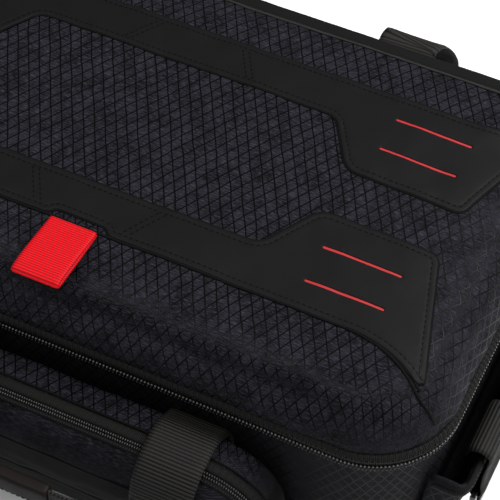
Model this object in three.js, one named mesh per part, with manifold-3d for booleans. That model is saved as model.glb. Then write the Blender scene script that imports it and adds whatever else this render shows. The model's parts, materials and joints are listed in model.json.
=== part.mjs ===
// Padded shoulder bag for camera gear: a stiff walled body, a domed lid that zips round three sides and
// hinges along the rear, a front pocket, two side pockets, two carry handles and a padded interior.
// Millimetres, +Z up, +Y to the rear, origin on the floor under the middle of the whole object.
import * as THREE from 'three';
import { mergeVertices } from 'three/addons/utils/BufferGeometryUtils.js';
import Module from 'manifold-3d';

const wasm = await Module();
wasm.setup();

// ---- Driving dimensions ---------------------------------------------------------------------------
const LENGTH = 478;              // outside of the main zipper, left to right
const DEPTH = 274;               // outside of the main zipper, front to rear
const CORNER = 52;               // plan radius of the zipper's corners
const HEIGHT = 208;              // floor to the crown of the lid
const LID_Y = 15.4;              // the lid's centre behind the object's centre
const ZIP_Z = 160;               // height of the closed zipper
const REAR_Z = 188;              // top of the raised rear wall
const REAR_CUT = 97;             // the zipper's two ends, measured back from the lid's centre
const LID_REAR = 117;            // rear edge of the lid's top
const BASE_Z = 6;                // underside of the base panel
const FLOOR_Z = 14;              // top of the base panel
const BASE_INSET = 18;           // how far the walls lean in at the base
const WALL = 12;                 // padded wall
const ZIP_PROUD = 2.6;           // the zipper stands this far out of the walls
const LINER = 1.8;
const GAP = 0.3;                 // clearance between touching pieces
const HINGE = { y: 127, z: 194 };
const WEBBING = 38;              // carry handle webbing
const WEB_THICK = 2.4;
const HANDLE_X = 102;            // centre of each handle strand
const TAB_WIDTH = 30;            // red pull tab
const CORNER_STEPS = 6;
const FAR = 400;                 // larger than any half of the object

// ---- Solids ---------------------------------------------------------------------------------------
function solid(geometry) {
  const bare = geometry.clone();
  bare.deleteAttribute('normal');
  bare.deleteAttribute('uv');
  const merged = mergeVertices(bare, 1e-4);
  const triVerts = new Uint32Array(merged.index.array);
  const vertProperties = new Float32Array(merged.attributes.position.array);
  return new wasm.Manifold(new wasm.Mesh({ numProp: 3, vertProperties, triVerts }));
}

function geometryOf(manifold) {
  const mesh = manifold.getMesh();
  const geometry = new THREE.BufferGeometry();
  geometry.setAttribute('position', new THREE.BufferAttribute(mesh.vertProperties, 3));
  geometry.setIndex(new THREE.BufferAttribute(mesh.triVerts, 1));
  geometry.computeVertexNormals();
  return geometry;
}

function cut(base, ...tools) {
  return geometryOf(tools.reduce((left, tool) => left.subtract(solid(tool)), solid(base)));
}

function join(...pieces) {
  return geometryOf(pieces.map(solid).reduce((left, piece) => left.add(piece)));
}

function meet(...pieces) {
  return geometryOf(pieces.map(solid).reduce((left, piece) => left.intersect(piece)));
}

// The space inside a pouch: what its copies, each moved by the wall's thickness, have in common.
function hollowOf(outside, wall, closedTop) {
  const moves = [[wall, 0, 0], [-wall, 0, 0], [0, wall, 0], [0, -wall, 0], [0, 0, wall]];
  if (closedTop) moves.push([0, 0, -wall]);
  return meet(...moves.map((move) => outside.clone().translate(...move)));
}

// A box from its lowest to its highest corner.
function box(x0, y0, z0, x1, y1, z1) {
  const geometry = new THREE.BoxGeometry(x1 - x0, y1 - y0, z1 - z0);
  return geometry.translate((x0 + x1) / 2, (y0 + y1) / 2, (z0 + z1) / 2);
}

// The bag's plan outline at one height, drawn in by inset from the zipper's outside.
function planRing(inset, z) {
  const halfX = LENGTH / 2 - inset;
  const halfY = DEPTH / 2 - inset;
  const radius = Math.max(CORNER - inset, 5);
  const points = [];
  for (let corner = 0; corner < 4; corner += 1) {
    const start = (corner * Math.PI) / 2;
    const cx = (halfX - radius) * (corner === 0 || corner === 3 ? 1 : -1);
    const cy = (halfY - radius) * (corner < 2 ? 1 : -1);
    for (let step = 0; step <= CORNER_STEPS; step += 1) {
      const angle = start + (step / CORNER_STEPS) * (Math.PI / 2);
      points.push([cx + radius * Math.cos(angle), cy + radius * Math.sin(angle), z]);
    }
  }
  return points;
}

// A closed solid through rings of equally many points, each ring convex and counter-clockwise from
// the side that the rings advance to.
function loft(rings) {
  const count = rings[0].length;
  const index = [];
  for (let level = 0; level + 1 < rings.length; level += 1) {
    for (let i = 0; i < count; i += 1) {
      const a = level * count + i;
      const b = level * count + ((i + 1) % count);
      index.push(a, b, b + count, a, b + count, a + count);
    }
  }
  const top = (rings.length - 1) * count;
  for (let i = 1; i + 1 < count; i += 1) {
    index.push(0, i + 1, i);
    index.push(top, top + i, top + i + 1);
  }
  const geometry = new THREE.BufferGeometry();
  geometry.setAttribute('position', new THREE.Float32BufferAttribute(rings.flat(2), 3));
  geometry.setIndex(index);
  geometry.computeVertexNormals();
  return geometry;
}

const planLoft = (profile) => loft(profile.map(([inset, z]) => planRing(inset, z)));

// An outline in the X-Y plane, drawn up from z0 to z1.
function prism(shape, z0, z1) {
  const settings = { depth: z1 - z0, bevelEnabled: false, curveSegments: 5 };
  return new THREE.ExtrudeGeometry(shape, settings).translate(0, 0, z0);
}

// An outline in the Y-Z plane, drawn from x0 to x1.
function sidePrism(points, x0, x1) {
  const shape = new THREE.Shape(points.map(([y, z]) => new THREE.Vector2(y, z)));
  const geometry = new THREE.ExtrudeGeometry(shape, { depth: x1 - x0, bevelEnabled: false });
  return geometry.applyMatrix4(towardsX()).translate(x0, 0, 0);
}

// Turns a drawing in the X-Y plane into the Y-Z plane, with its depth along +X.
function towardsX() {
  const [x, y, z] = [new THREE.Vector3(1, 0, 0), new THREE.Vector3(0, 1, 0), new THREE.Vector3(0, 0, 1)];
  return new THREE.Matrix4().makeBasis(y, z, x);
}

// A flat strap through stations of centre, width direction and width.
function strap(stations, thickness) {
  const centres = stations.map(([x, y, z]) => new THREE.Vector3(x, y, z));
  const rings = stations.map(([, , , wx, wy, wz, width], i) => {
    const before = centres[Math.max(i - 1, 0)];
    const after = centres[Math.min(i + 1, centres.length - 1)];
    const along = after.clone().sub(before).normalize();
    const across = new THREE.Vector3(wx, wy, wz);
    across.addScaledVector(along, -across.dot(along)).normalize();
    const normal = along.clone().cross(across);
    return [[1, 1], [-1, 1], [-1, -1], [1, -1]].map(([u, v]) => centres[i].clone()
      .addScaledVector(across, (u * width) / 2)
      .addScaledVector(normal, (v * thickness) / 2)
      .toArray());
  });
  return loft(rings);
}

const mirrorX = (stations) => stations.map(([x, y, z, wx, wy, wz, w]) => [-x, y, z, -wx, wy, wz, w]);

// ---- Materials ------------------------------------------------------------------------------------
function finish(color, roughness, metalness = 0) {
  return new THREE.MeshStandardMaterial({ color, roughness, metalness });
}

const cloth = finish(0x26262c, 0.85);
const leatherette = finish(0x17161a, 0.6);
const redWebbing = finish(0xd3141c, 0.75);
const blackWebbing = finish(0x1b1b1c, 0.8);
const zipTape = finish(0x151517, 0.8);
const zipMetal = finish(0x2a2a2d, 0.35, 0.8);
const lining = finish(0x8a8c90, 0.9);
const rubber = finish(0x121213, 0.9);
const board = finish(0x1d1d20, 0.7);

const bag = new THREE.Group();
bag.position.y = LID_Y;
const object = new THREE.Group();
object.add(bag);

function piece(name, geometry, material) {
  const mesh = new THREE.Mesh(geometry, material);
  mesh.name = name;
  bag.add(mesh);
}

// ---- Body -----------------------------------------------------------------------------------------
// How far the wall's outside lies inside the zipper's outline at height z.
const wallInset = (z) => ZIP_PROUD + (BASE_INSET * Math.max(ZIP_Z - z, 0)) / (ZIP_Z - BASE_Z);

function bodySolid(grow, z0, z1) {
  const levels = [z0, ...[ZIP_Z].filter((z) => z > z0 && z < z1), z1];
  return planLoft(levels.map((z) => [wallInset(z) + grow, z]));
}

function makeBody() {
  const wall = cut(
    bodySolid(0, FLOOR_Z + GAP, REAR_Z),
    bodySolid(WALL, FLOOR_Z - 5, REAR_Z + 5),
    box(-FAR, -FAR, ZIP_Z - GAP, FAR, REAR_CUT, FAR),
  );
  piece('body_wall', wall, cloth);
  piece('base_panel', bodySolid(0, BASE_Z, FLOOR_Z), board);
  piece('base_pad', bodySolid(WALL + GAP, FLOOR_Z + GAP, FLOOR_Z + 6), lining);
  const liner = cut(
    bodySolid(WALL + GAP, FLOOR_Z + 6 + GAP, ZIP_Z - 1),
    bodySolid(WALL + GAP + LINER, FLOOR_Z + 6 + GAP + LINER, ZIP_Z + 5),
  );
  piece('inner_liner', liner, lining);
  const binding = cut(
    bodySolid(-0.8, REAR_Z + GAP, REAR_Z + 3),
    bodySolid(WALL + 0.5, REAR_Z - 5, REAR_Z + 5),
    box(-FAR, -FAR, 0, FAR, REAR_CUT + 3, FAR),
  );
  piece('rear_binding', binding, blackWebbing);
}

const FOOT_X = 190;
const FOOT_Y = 90;

function makeFeet() {
  const profile = [[0, 0], [9, 0], [11, 1.5], [12, BASE_Z - GAP], [0, BASE_Z - GAP]];
  for (const [end, y] of [['rear', FOOT_Y], ['front', -FOOT_Y]]) {
    for (const [hand, x] of [['right', FOOT_X], ['left', -FOOT_X]]) {
      const foot = new THREE.LatheGeometry(profile.map(([r, h]) => new THREE.Vector2(r, h)), 20);
      piece(`foot_${end}_${hand}`, foot.rotateX(Math.PI / 2).translate(x, y, 0), rubber);
    }
  }
}

const DIVIDER_X = 78;

function makeDividers() {
  const halfY = DEPTH / 2 - wallInset(FLOOR_Z + 9) - WALL - GAP - LINER - 1;
  for (const [name, x] of [['divider_left', -DIVIDER_X], ['divider_right', DIVIDER_X]]) {
    piece(name, box(x - 4.5, -halfY, FLOOR_Z + 9, x + 4.5, halfY, 138), lining);
  }
}

// ---- Zipper bands ---------------------------------------------------------------------------------
function zipBand(inner, outer, z0, z1) {
  const ring = cut(planLoft([[outer, z0], [outer, z1]]), planLoft([[inner, z0 - 1], [inner, z1 + 1]]));
  return cut(ring, box(-FAR, REAR_CUT - 1, 0, FAR, FAR, FAR));
}

// ---- Lid ------------------------------------------------------------------------------------------
// Inset and height of the lid's surface: side roll, crease, upper bulge, then the shallow dome.
const LID_PROFILE = [
  [3, ZIP_Z + GAP], [ZIP_PROUD, 166], [4, 171], [7.5, 176], [5.8, 182], [6, 190], [9, 196], [14, 199.5],
  [30, 202], [60, 204.8], [95, 207], [125, HEIGHT],
];
const LID_UNDER = 188;

const dome = (rise) => planLoft(LID_PROFILE).translate(0, 0, rise);

// The material between two copies of the dome, one over the other, inside an outline.
const onDome = (shape, low, high) => cut(meet(prism(shape, 180, 240), dome(high)), dome(low));

function guardShape(side) {
  const half = [[0, 52.6], [100.6, 52.6], [122.5, 16.5], [195, 16.5], [221.5, 103]];
  const shape = new THREE.Shape();
  shape.moveTo(0, side * half[0][1]);
  half.slice(1).forEach(([x, y]) => shape.lineTo(x, side * y));
  shape.quadraticCurveTo(197, side * 84, 150, side * 83);
  if (side < 0) {
    shape.lineTo(TAB_WIDTH / 2 + 2, side * 83);
    shape.lineTo(TAB_WIDTH / 2 + 1, side * 80);
    shape.lineTo(-TAB_WIDTH / 2 - 1, side * 80);
    shape.lineTo(-TAB_WIDTH / 2 - 2, side * 83);
  }
  shape.lineTo(-150, side * 83);
  shape.quadraticCurveTo(-197, side * 84, -221.5, side * 103);
  half.slice(1, 4).reverse().forEach(([x, y]) => shape.lineTo(-x, side * y));
  return shape;
}

const SLITS = { from: 134, to: 182.3, rows: [40, 64.8], width: 2 };

function rectangle(x0, y0, x1, y1) {
  const corners = [[x0, y0], [x1, y0], [x1, y1], [x0, y1]];
  return new THREE.Shape(corners.map(([x, y]) => new THREE.Vector2(x, y)));
}

function slitTool(hand, y) {
  const xs = [hand * SLITS.from, hand * SLITS.to].sort((a, b) => a - b);
  return box(xs[0], y - SLITS.width / 2, 180, xs[1], y + SLITS.width / 2, 240);
}

function makeGuard(name, side) {
  const tools = [];
  for (const [handName, hand] of [['left', -1], ['right', 1]]) {
    const xs = [hand * (SLITS.from - 5), hand * (SLITS.to + 5)].sort((a, b) => a - b);
    const ys = [side * (SLITS.rows[0] - 5), side * (SLITS.rows[1] + 5)].sort((a, b) => a - b);
    const under = rectangle(xs[0], ys[0], xs[1], ys[1]);
    piece(`slit_backing_${name}_${handName}`, onDome(under, GAP, 1), redWebbing);
    const relief = rectangle(xs[0] - GAP, ys[0] - GAP, xs[1] + GAP, ys[1] + GAP);
    tools.push(onDome(relief, -1, 1 + GAP));
    SLITS.rows.forEach((row) => tools.push(slitTool(hand, side * row)));
  }
  piece(`guard_${name}`, cut(onDome(guardShape(side), GAP, 2.4), ...tools), leatherette);
}

function makeLid() {
  const inside = planLoft([[WALL - 1, 100], [WALL, LID_UNDER]]);
  const edge = WALL + ZIP_PROUD + 1;
  const top = meet(planLoft([[edge, 100], [edge, 300]]), box(-FAR, -FAR, 0, FAR, LID_REAR, FAR));
  const kept = join(box(-FAR, -FAR, 0, FAR, REAR_CUT - 1, FAR), top);
  piece('lid_shell', cut(meet(dome(0), kept), inside), cloth);
  const liningPlate = planLoft([[WALL + 8, LID_UNDER - 3], [WALL + 8, LID_UNDER - GAP]]);
  piece('lid_lining', meet(liningPlate, box(-FAR, -FAR, 0, FAR, LID_REAR - 5, FAR)), lining);
  piece('lid_zip_band', zipBand(ZIP_PROUD - GAP, 0, ZIP_Z + GAP, ZIP_Z + 7), zipTape);
  piece('body_zip_band', zipBand(ZIP_PROUD - GAP, 0, ZIP_Z - 5, ZIP_Z - GAP), zipTape);
  const strip = box(-205, LID_REAR + GAP, HINGE.z - 2, 205, HINGE.y - 1, HINGE.z + 0.5);
  piece('hinge_strip', strip, cloth);
  makeGuard('front', -1);
  makeGuard('rear', 1);
}

// Red webbing folded in two, sewn under the front guard's edge and standing out over the lid's front.
const TAB = { y: -83, z: 206.4, reach: 48, rise: 6 };

function makePullTab() {
  const tip = TAB.y - TAB.reach;
  const fold = [
    [TAB.y, TAB.z], [tip + 4, TAB.z + TAB.rise - 1.5], [tip, TAB.z + TAB.rise + 0.8],
    [tip + 4, TAB.z + TAB.rise + 3.2], [TAB.y - 8, TAB.z + 4], [TAB.y, TAB.z + 2.6],
  ];
  piece('pull_tab', sidePrism(fold.reverse(), -TAB_WIDTH / 2, TAB_WIDTH / 2), redWebbing);
}

// ---- Sliders and pullers --------------------------------------------------------------------------
// A slider lies over a zipper that runs along X, its bridge up; the puller's plate points along -X.
const sliderShell = () => cut(
  join(box(-6, -5, 1.2, 6, 5, 4.6), box(-4, -3.6, 4, 4, 3.6, 7.6)),
  box(-9, -2.2, 4.6, 9, 2.2, 6.2),
);

const PULLER = { length: 32, half: 3.4, low: 8, high: 9.6, stub: 0.8 };

function pullerPlate() {
  const { length, half, low, high, stub } = PULLER;
  const eye = box(-length + 3, -1.5, low - 2, -length + 9, 1.5, high + 2);
  return cut(box(-length, -half, low, stub, half, high), eye);
}

const MAIN_SLIDERS = { front: -12, rear: 10 };

// The main zipper's two sliders meet on the left side of the bag, with their pullers hanging.
function makeMainSliders() {
  const turn = new THREE.Matrix4().makeBasis(
    new THREE.Vector3(0, 0, 1),
    new THREE.Vector3(0, 1, 0),
    new THREE.Vector3(-1, 0, 0),
  );
  for (const [name, y] of Object.entries(MAIN_SLIDERS)) {
    const place = (geometry) => geometry.applyMatrix4(turn).translate(-LENGTH / 2, y, ZIP_Z);
    piece(`main_slider_${name}`, place(sliderShell()), zipMetal);
    piece(`main_puller_${name}`, place(pullerPlate()), zipMetal);
  }
}

// ---- Front pocket ---------------------------------------------------------------------------------
const POCKET = { half: 158, top: 145, bottom: 24, corner: 40, wall: 3.2, slotY: -166 };
const POCKET_SIDE = [
  [-110, 22], [-154, 22], [-160, 30], [-174, 70], [-182, 104], [-183, 122], [-179, 136], [-170, 143],
  [-160, 144], [-149, 144], [-141, 102], [-110, 100],
];
const POCKET_SLIDER = { x: -40, y: -175.6, z: 142, tilt: Math.atan2(7, 9) };

// The pocket's outside moved out over its shoulder.
const pocketCopy = (outside, by) => outside.clone().translate(0, -0.7 * by, 0.7 * by);

// The pocket's face seen from the front, with round upper corners.
function pocketFace() {
  const { half, top, corner, bottom } = POCKET;
  const shape = new THREE.Shape();
  shape.moveTo(-half, bottom - 4);
  shape.lineTo(half, bottom - 4);
  shape.lineTo(half, top - corner);
  shape.absarc(half - corner, top - corner, corner, 0, Math.PI / 2, false);
  shape.lineTo(-half + corner, top);
  shape.absarc(-half + corner, top - corner, corner, Math.PI / 2, Math.PI, false);
  return prism(shape, 60, 240).rotateX(Math.PI / 2);
}

function makeFrontPocket() {
  const outside = cut(meet(sidePrism(POCKET_SIDE, -FAR, FAR), pocketFace()), bodySolid(-GAP, 0, 300));
  const slot = box(-118, POCKET.slotY - 3.5, 120, 118, POCKET.slotY + 3.5, 170);
  piece('front_pocket', cut(outside, hollowOf(outside, POCKET.wall, true), slot), cloth);
  const layer = cut(pocketCopy(outside, 2.1), pocketCopy(outside, GAP));
  piece('pocket_zip', meet(layer, box(-124, -190, 134, 124, -158, 160)), zipTape);
  const place = (geometry) => geometry.rotateX(POCKET_SLIDER.tilt)
    .translate(POCKET_SLIDER.x, POCKET_SLIDER.y, POCKET_SLIDER.z);
  piece('pocket_slider', place(sliderShell()), zipMetal);
  piece('pocket_puller', place(pullerPlate()), zipMetal);
}

// ---- Side pockets, tabs and rings -----------------------------------------------------------------
const SIDE_POCKET = { halfY: 107, top: 128, bottom: 30, proud: 22, wall: 3 };
const RING = { y: -62, z: 86, stand: 7, bar: 2, width: 38, drop: 22 };

// An outline in the X-Z plane, drawn from y0 to y1.
function frontPrism(points, y0, y1) {
  const shape = new THREE.Shape(points.map(([x, z]) => new THREE.Vector2(x, z)));
  const geometry = new THREE.ExtrudeGeometry(shape, { depth: y1 - y0, bevelEnabled: false });
  return geometry.rotateX(Math.PI / 2).translate(0, y1, 0);
}

const wallX = (z) => LENGTH / 2 - wallInset(z);
const wallY = (z) => DEPTH / 2 - wallInset(z);

// The side pocket's outer face at height z.
function pocketX(z) {
  const { top, bottom, proud } = SIDE_POCKET;
  const low = wallX(bottom) + 12;
  return low + ((wallX(top) + proud - low) * (z - bottom)) / (top - bottom);
}

function sidePouch() {
  const { halfY, top, bottom, wall } = SIDE_POCKET;
  const block = frontPrism([
    [150, bottom], [pocketX(bottom) - 4, bottom], [pocketX(bottom + 12), bottom + 12],
    [pocketX(top), top], [150, top],
  ], -halfY, halfY);
  const outside = cut(block, bodySolid(-GAP, 0, 300));
  return cut(outside, hollowOf(outside, wall, false));
}

// Webbing folded round the ring's bar and sewn to the side pocket.
function sideTab() {
  const x = pocketX(RING.z) + RING.stand;
  const r = RING.bar + 0.6;
  const face = (z) => pocketX(z) + GAP;
  const outline = [
    [face(124), 124], [face(RING.z + 8), RING.z + 8], [x - r - 2.4, RING.z], [x - r, RING.z - r - 1.8],
    [x + r, RING.z - r - 1.8], [x + r + 2.4, RING.z], [x + r, RING.z + 9], [face(112) + 5.2, 112],
    [face(124) + 5, 124],
  ];
  const half = RING.width / 2;
  const bar = new THREE.CylinderGeometry(r, r, RING.width + 9, 12).translate(x, RING.y, RING.z);
  return cut(frontPrism(outline, RING.y - half, RING.y + half), bar);
}

// A D-shaped ring: its straight bar lies in the tab and its bow hangs below.
function dRing() {
  const x = pocketX(RING.z) + RING.stand;
  const half = RING.width / 2 + 5;
  const inner = half - 2 * RING.bar;
  const bow = (r, drop, bar) => {
    const shape = new THREE.Shape();
    shape.moveTo(-r, bar);
    shape.lineTo(-r, -2);
    shape.bezierCurveTo(-r, -drop * 0.8, -r * 0.7, -drop, 0, -drop);
    shape.bezierCurveTo(r * 0.7, -drop, r, -drop * 0.8, r, -2);
    shape.lineTo(r, bar);
    return shape;
  };
  const depth = 2 * RING.bar - 0.8;
  const outline = { depth, bevelEnabled: false, curveSegments: 5 };
  const ring = new THREE.ExtrudeGeometry(bow(half, RING.drop + 3, RING.bar - 0.6), outline);
  const deep = { ...outline, depth: 20 };
  const hole = new THREE.ExtrudeGeometry(bow(inner, RING.drop - 1, -RING.bar + 0.6), deep);
  const flat = cut(ring.translate(0, 0, -depth / 2), hole.translate(0, 0, -10));
  return flat.applyMatrix4(towardsX()).translate(x, RING.y, RING.z);
}

// A narrow strap from behind the ring to the base, standing a little off the side pocket.
function sideStrap() {
  const x = (z) => pocketX(z) + 2;
  const path = [[x(80), 80], [x(60), 60], [x(44) + 1, 44], [wallX(24) + 6, 24], [wallX(10) + 2, 9]];
  return strap(path.map(([px, z]) => [px, RING.y, z, 0, 1, 0, 10]), 1.8);
}

function makeSides() {
  const pieces = [
    ['side_pocket', sidePouch(), cloth],
    ['side_tab', sideTab(), blackWebbing],
    ['side_ring', dRing(), zipMetal],
    ['side_strap', sideStrap(), blackWebbing],
  ];
  for (const [name, geometry, material] of pieces) {
    piece(`${name}_right`, geometry, material);
    piece(`${name}_left`, mirrored(geometry), material);
  }
}

// The other side's copy: X changes sign and each triangle turns round.
function mirrored(geometry) {
  const copy = geometry.clone().scale(-1, 1, 1);
  const count = copy.attributes.position.count;
  const index = copy.index ? Array.from(copy.index.array) : Array.from({ length: count }, (_, i) => i);
  for (let i = 0; i < index.length; i += 3) {
    [index[i], index[i + 1]] = [index[i + 1], index[i]];
  }
  copy.setIndex(index);
  copy.computeVertexNormals();
  return copy;
}

// ---- Carry handles --------------------------------------------------------------------------------
// The loop of each handle as it lies at rest, for its right half: sideways, out from the fold line, up,
// then the direction of the webbing's width and the width itself.
const LOOP = {
  front: [
    [HANDLE_X, 2, -0.2, 1, 0, 38], [HANDLE_X, 9, -3, 1, 0, 38], [HANDLE_X, 17, -10, 1, 0, 38],
    [HANDLE_X, 22.5, -20, 1, 0, 38], [HANDLE_X, 25, -30, 1, 0, 38], [97, 27, -38, 0.95, -0.3, 34],
    [89, 31, -44, 0.8, -0.6, 28], [77, 36, -42, 0.4, -0.9, 24], [64, 41, -32, 0.35, -0.93, 21],
    [50, 45, -25, 0, -1, 20], [0, 45, -25, 0, -1, 20],
  ],
  rear: [
    [HANDLE_X, 1.1, -0.2, 1, 0, 38], [HANDLE_X, 5, -0.6, 1, 0, 38], [HANDLE_X + 1, 9, -3, 1, 0, 38],
    [HANDLE_X + 3, 14, -9, 1, 0, 38], [HANDLE_X + 6, 18.5, -18, 1, 0, 38],
    [HANDLE_X + 8, 22.5, -30, 1, 0, 38], [HANDLE_X + 7, 25.5, -44, 1, -0.1, 37],
    [104, 27, -57, 0.97, -0.25, 35], [94, 27, -67, 0.85, -0.5, 31], [81, 26.7, -74, 0.6, -0.8, 27],
    [67, 26.7, -77, 0.4, -0.92, 24], [50, 26.7, -78, 0, -1, 20], [0, 26.7, -78, 0, -1, 20],
  ],
};
const FOLD = { front: { y: -164.5, z: 149, out: -1 }, rear: { y: 152, z: 176.3, out: 1 } };
const GRIP = { half: 44, tall: 25, thick: 9, bevel: 3 };

function loopStations(name) {
  const { y, z, out } = FOLD[name];
  const right = LOOP[name].map(([x, u, v, wx, wz, w]) => [x, y + out * u, z + v, wx, 0, wz, w]);
  const left = mirrorX(right.slice(0, -1)).reverse();
  return [...right, ...left];
}

function makeHandle(name, anchor) {
  const fold = FOLD[name];
  piece(`${name}_handle_strap`, strap(loopStations(name), WEB_THICK), blackWebbing);
  const [, u, v, , , endWidth] = LOOP[name].at(-1);
  const [cy, cz] = [fold.y + fold.out * u, fold.z + v];
  const [t, h] = [GRIP.thick / 2, GRIP.tall / 2];
  const corner = [[t, h - GRIP.bevel], [t - GRIP.bevel, h]];
  const flip = (p, q) => corner.map(([y, z]) => [cy + p * y, cz + q * z]);
  const section = [...flip(1, 1), ...flip(-1, 1).reverse(), ...flip(-1, -1), ...flip(1, -1).reverse()];
  const [sy, sz] = [WEB_THICK / 2 + GAP, endWidth / 2 + GAP];
  const slot = box(-FAR, cy - sy, cz - sz, FAR, cy + sy, cz + sz);
  piece(`${name}_grip`, cut(sidePrism(section, -GRIP.half, GRIP.half), slot), leatherette);
  const right = anchor.map(([y, z]) => [HANDLE_X, y, z, 1, 0, 0, WEBBING]);
  piece(`${name}_anchor_right`, strap(right, WEB_THICK), blackWebbing);
  piece(`${name}_anchor_left`, strap(mirrorX(right), WEB_THICK), blackWebbing);
}

function makeHandles() {
  const off = GAP + WEB_THICK / 2;
  makeHandle('front', [
    [-wallY(106) - off, 106], [-wallY(139) - off, 139], [-139, 145.5], [-146, 149], [-154, 150.2],
    [-162, 149.4],
  ]);
  makeHandle('rear', [
    [wallY(100) + off, 100], [wallY(150) + off, 150], [140, 161], [142.2, 168.5], [145.4, 173.2],
    [149, 175.3],
  ]);
}

makeBody();
makeFeet();
makeDividers();
makeLid();
makePullTab();
makeMainSliders();
makeFrontPocket();
makeSides();
makeHandles();

export default object;
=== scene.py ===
# A padded camera bag: cloth, webbing, leatherette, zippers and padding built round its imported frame.
# Blender 4.5. Lengths are in millimetres from the lid's centre on the floor until a mesh is made.
import json
import math

import bmesh
import bpy
import numpy as np
from mathutils import Matrix, Vector, noise
from mathutils.bvhtree import BVHTree
from mathutils.geometry import delaunay_2d_cdt


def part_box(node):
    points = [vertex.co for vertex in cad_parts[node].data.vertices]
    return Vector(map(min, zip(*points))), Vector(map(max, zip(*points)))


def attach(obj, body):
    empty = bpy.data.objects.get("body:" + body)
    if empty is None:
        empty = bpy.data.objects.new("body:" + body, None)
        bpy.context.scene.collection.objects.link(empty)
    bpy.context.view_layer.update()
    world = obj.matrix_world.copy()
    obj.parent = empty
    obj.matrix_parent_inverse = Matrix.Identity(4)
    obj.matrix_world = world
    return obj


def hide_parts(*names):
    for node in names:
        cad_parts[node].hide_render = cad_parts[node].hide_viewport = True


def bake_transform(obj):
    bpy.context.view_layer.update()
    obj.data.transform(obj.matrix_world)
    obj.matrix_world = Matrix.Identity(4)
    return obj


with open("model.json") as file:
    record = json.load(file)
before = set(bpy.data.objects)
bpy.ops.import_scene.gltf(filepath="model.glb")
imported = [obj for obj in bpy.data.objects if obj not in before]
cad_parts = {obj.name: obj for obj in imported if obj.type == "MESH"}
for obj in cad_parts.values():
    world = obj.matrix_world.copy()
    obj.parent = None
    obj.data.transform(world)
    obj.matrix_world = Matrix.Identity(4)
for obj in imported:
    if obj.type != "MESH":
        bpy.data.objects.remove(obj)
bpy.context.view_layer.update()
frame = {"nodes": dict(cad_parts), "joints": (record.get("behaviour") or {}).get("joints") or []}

# ---- Sizes read from the frame ----------------------------------------------------------------------
MM = 0.001
lid_y = (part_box("guard_front")[0].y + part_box("guard_rear")[1].y) / 2
OFFSET = np.array([0.0, lid_y / MM, 0.0])


def cad(node):
    """A node's lowest and highest corner, in millimetres from the lid's centre."""
    low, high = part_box(node)
    return np.array(low) / MM - OFFSET, np.array(high) / MM - OFFSET


BAND_GAP = 0.3  # between the CAD's band on the lid and the zipper's middle
CORNER = 52.0
CORNER_SIGNS = np.array([(-1, 1), (-1, -1), (1, -1), (1, 1)])
LEAST_RADIUS = 3.0
HALF_X = cad("lid_zip_band")[1][0]
HALF_Y = -cad("lid_zip_band")[0][1]
ZIP_Z = cad("lid_zip_band")[0][2] - BAND_GAP
CROWN = cad("lid_shell")[1][2]
REAR_Z = cad("body_wall")[1][2]
FLOOR_Z = cad("body_wall")[0][2]
ZIP_PROUD = 2.6  # how far the zipper stands out from the top of the wall
WALL = 12.0
LEAN = 18.0 / 154.0  # the wall's inward lean towards the floor
LID_REAR_INSET = 20.0
REAR_ANGLE = 12.0  # where the raised rear wall starts on the rear corners
WEBBING = 38.0
RIB = 2.1  # pitch of the black webbing's ribs
WEB_EDGE = 0.8


# ---- Rounded-rectangle skins ------------------------------------------------------------------------
class Plan:
    """Stations round a rounded rectangle, from the +v end of the -u side, anticlockwise."""

    def __init__(self, half, radii, step, corner_step=None):
        self.half = np.array(half, float)
        self.radii = np.array(radii, float)
        self.corner, self.turn, self.run = [], [], []
        for k in range(4):
            arc = max(int(radii[k] * math.pi / 2 / (corner_step or step)), 3)
            for i in range(arc):
                self._add(k, i / arc, -1.0)
            ends = self._tangent(k, 1.0, 0.0), self._tangent((k + 1) % 4, 0.0, 0.0)
            count = max(int(np.linalg.norm(ends[1] - ends[0]) / step), 2)
            for i in range(count):
                self._add(k, 1.0, i / count)
        self.corner = np.array(self.corner)
        self.turn = np.array(self.turn)
        self.run = np.array(self.run)
        self.count = len(self.turn)
        angle = (self.corner + 1 + self.turn) * math.pi / 2
        self.normal = np.stack([np.cos(angle), np.sin(angle)], 1)
        rim = self.ring(0.0)
        gaps = np.linalg.norm(np.roll(rim, -1, 0) - rim, axis=1)
        self.along = np.concatenate([[0.0], np.cumsum(gaps)[:-1]])

    def _add(self, corner, turn, run):
        self.corner.append(corner)
        self.turn.append(turn)
        self.run.append(run)

    def _bend(self, k, inset):
        """Centre and radius of a corner drawn in by inset."""
        radius = min(max(self.radii[k] - inset, LEAST_RADIUS), self.half.min() - inset)
        return CORNER_SIGNS[k] * (self.half - inset - radius), radius

    def _tangent(self, k, turn, inset):
        centre, radius = self._bend(k, inset)
        angle = (k + 1 + turn) * math.pi / 2
        return centre + radius * np.array([math.cos(angle), math.sin(angle)])

    def ring(self, inset):
        """The outline drawn in by inset."""
        points = np.zeros((self.count, 2))
        for k in range(4):
            here = self.corner == k
            bend = here & (self.run < 0)
            centre, radius = self._bend(k, inset)
            points[bend] = centre + radius * self.normal[bend]
            straight = here & (self.run >= 0)
            start, end = self._tangent(k, 1.0, inset), self._tangent((k + 1) % 4, 0.0, inset)
            points[straight] = start + self.run[straight][:, None] * (end - start)
        return points


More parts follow.
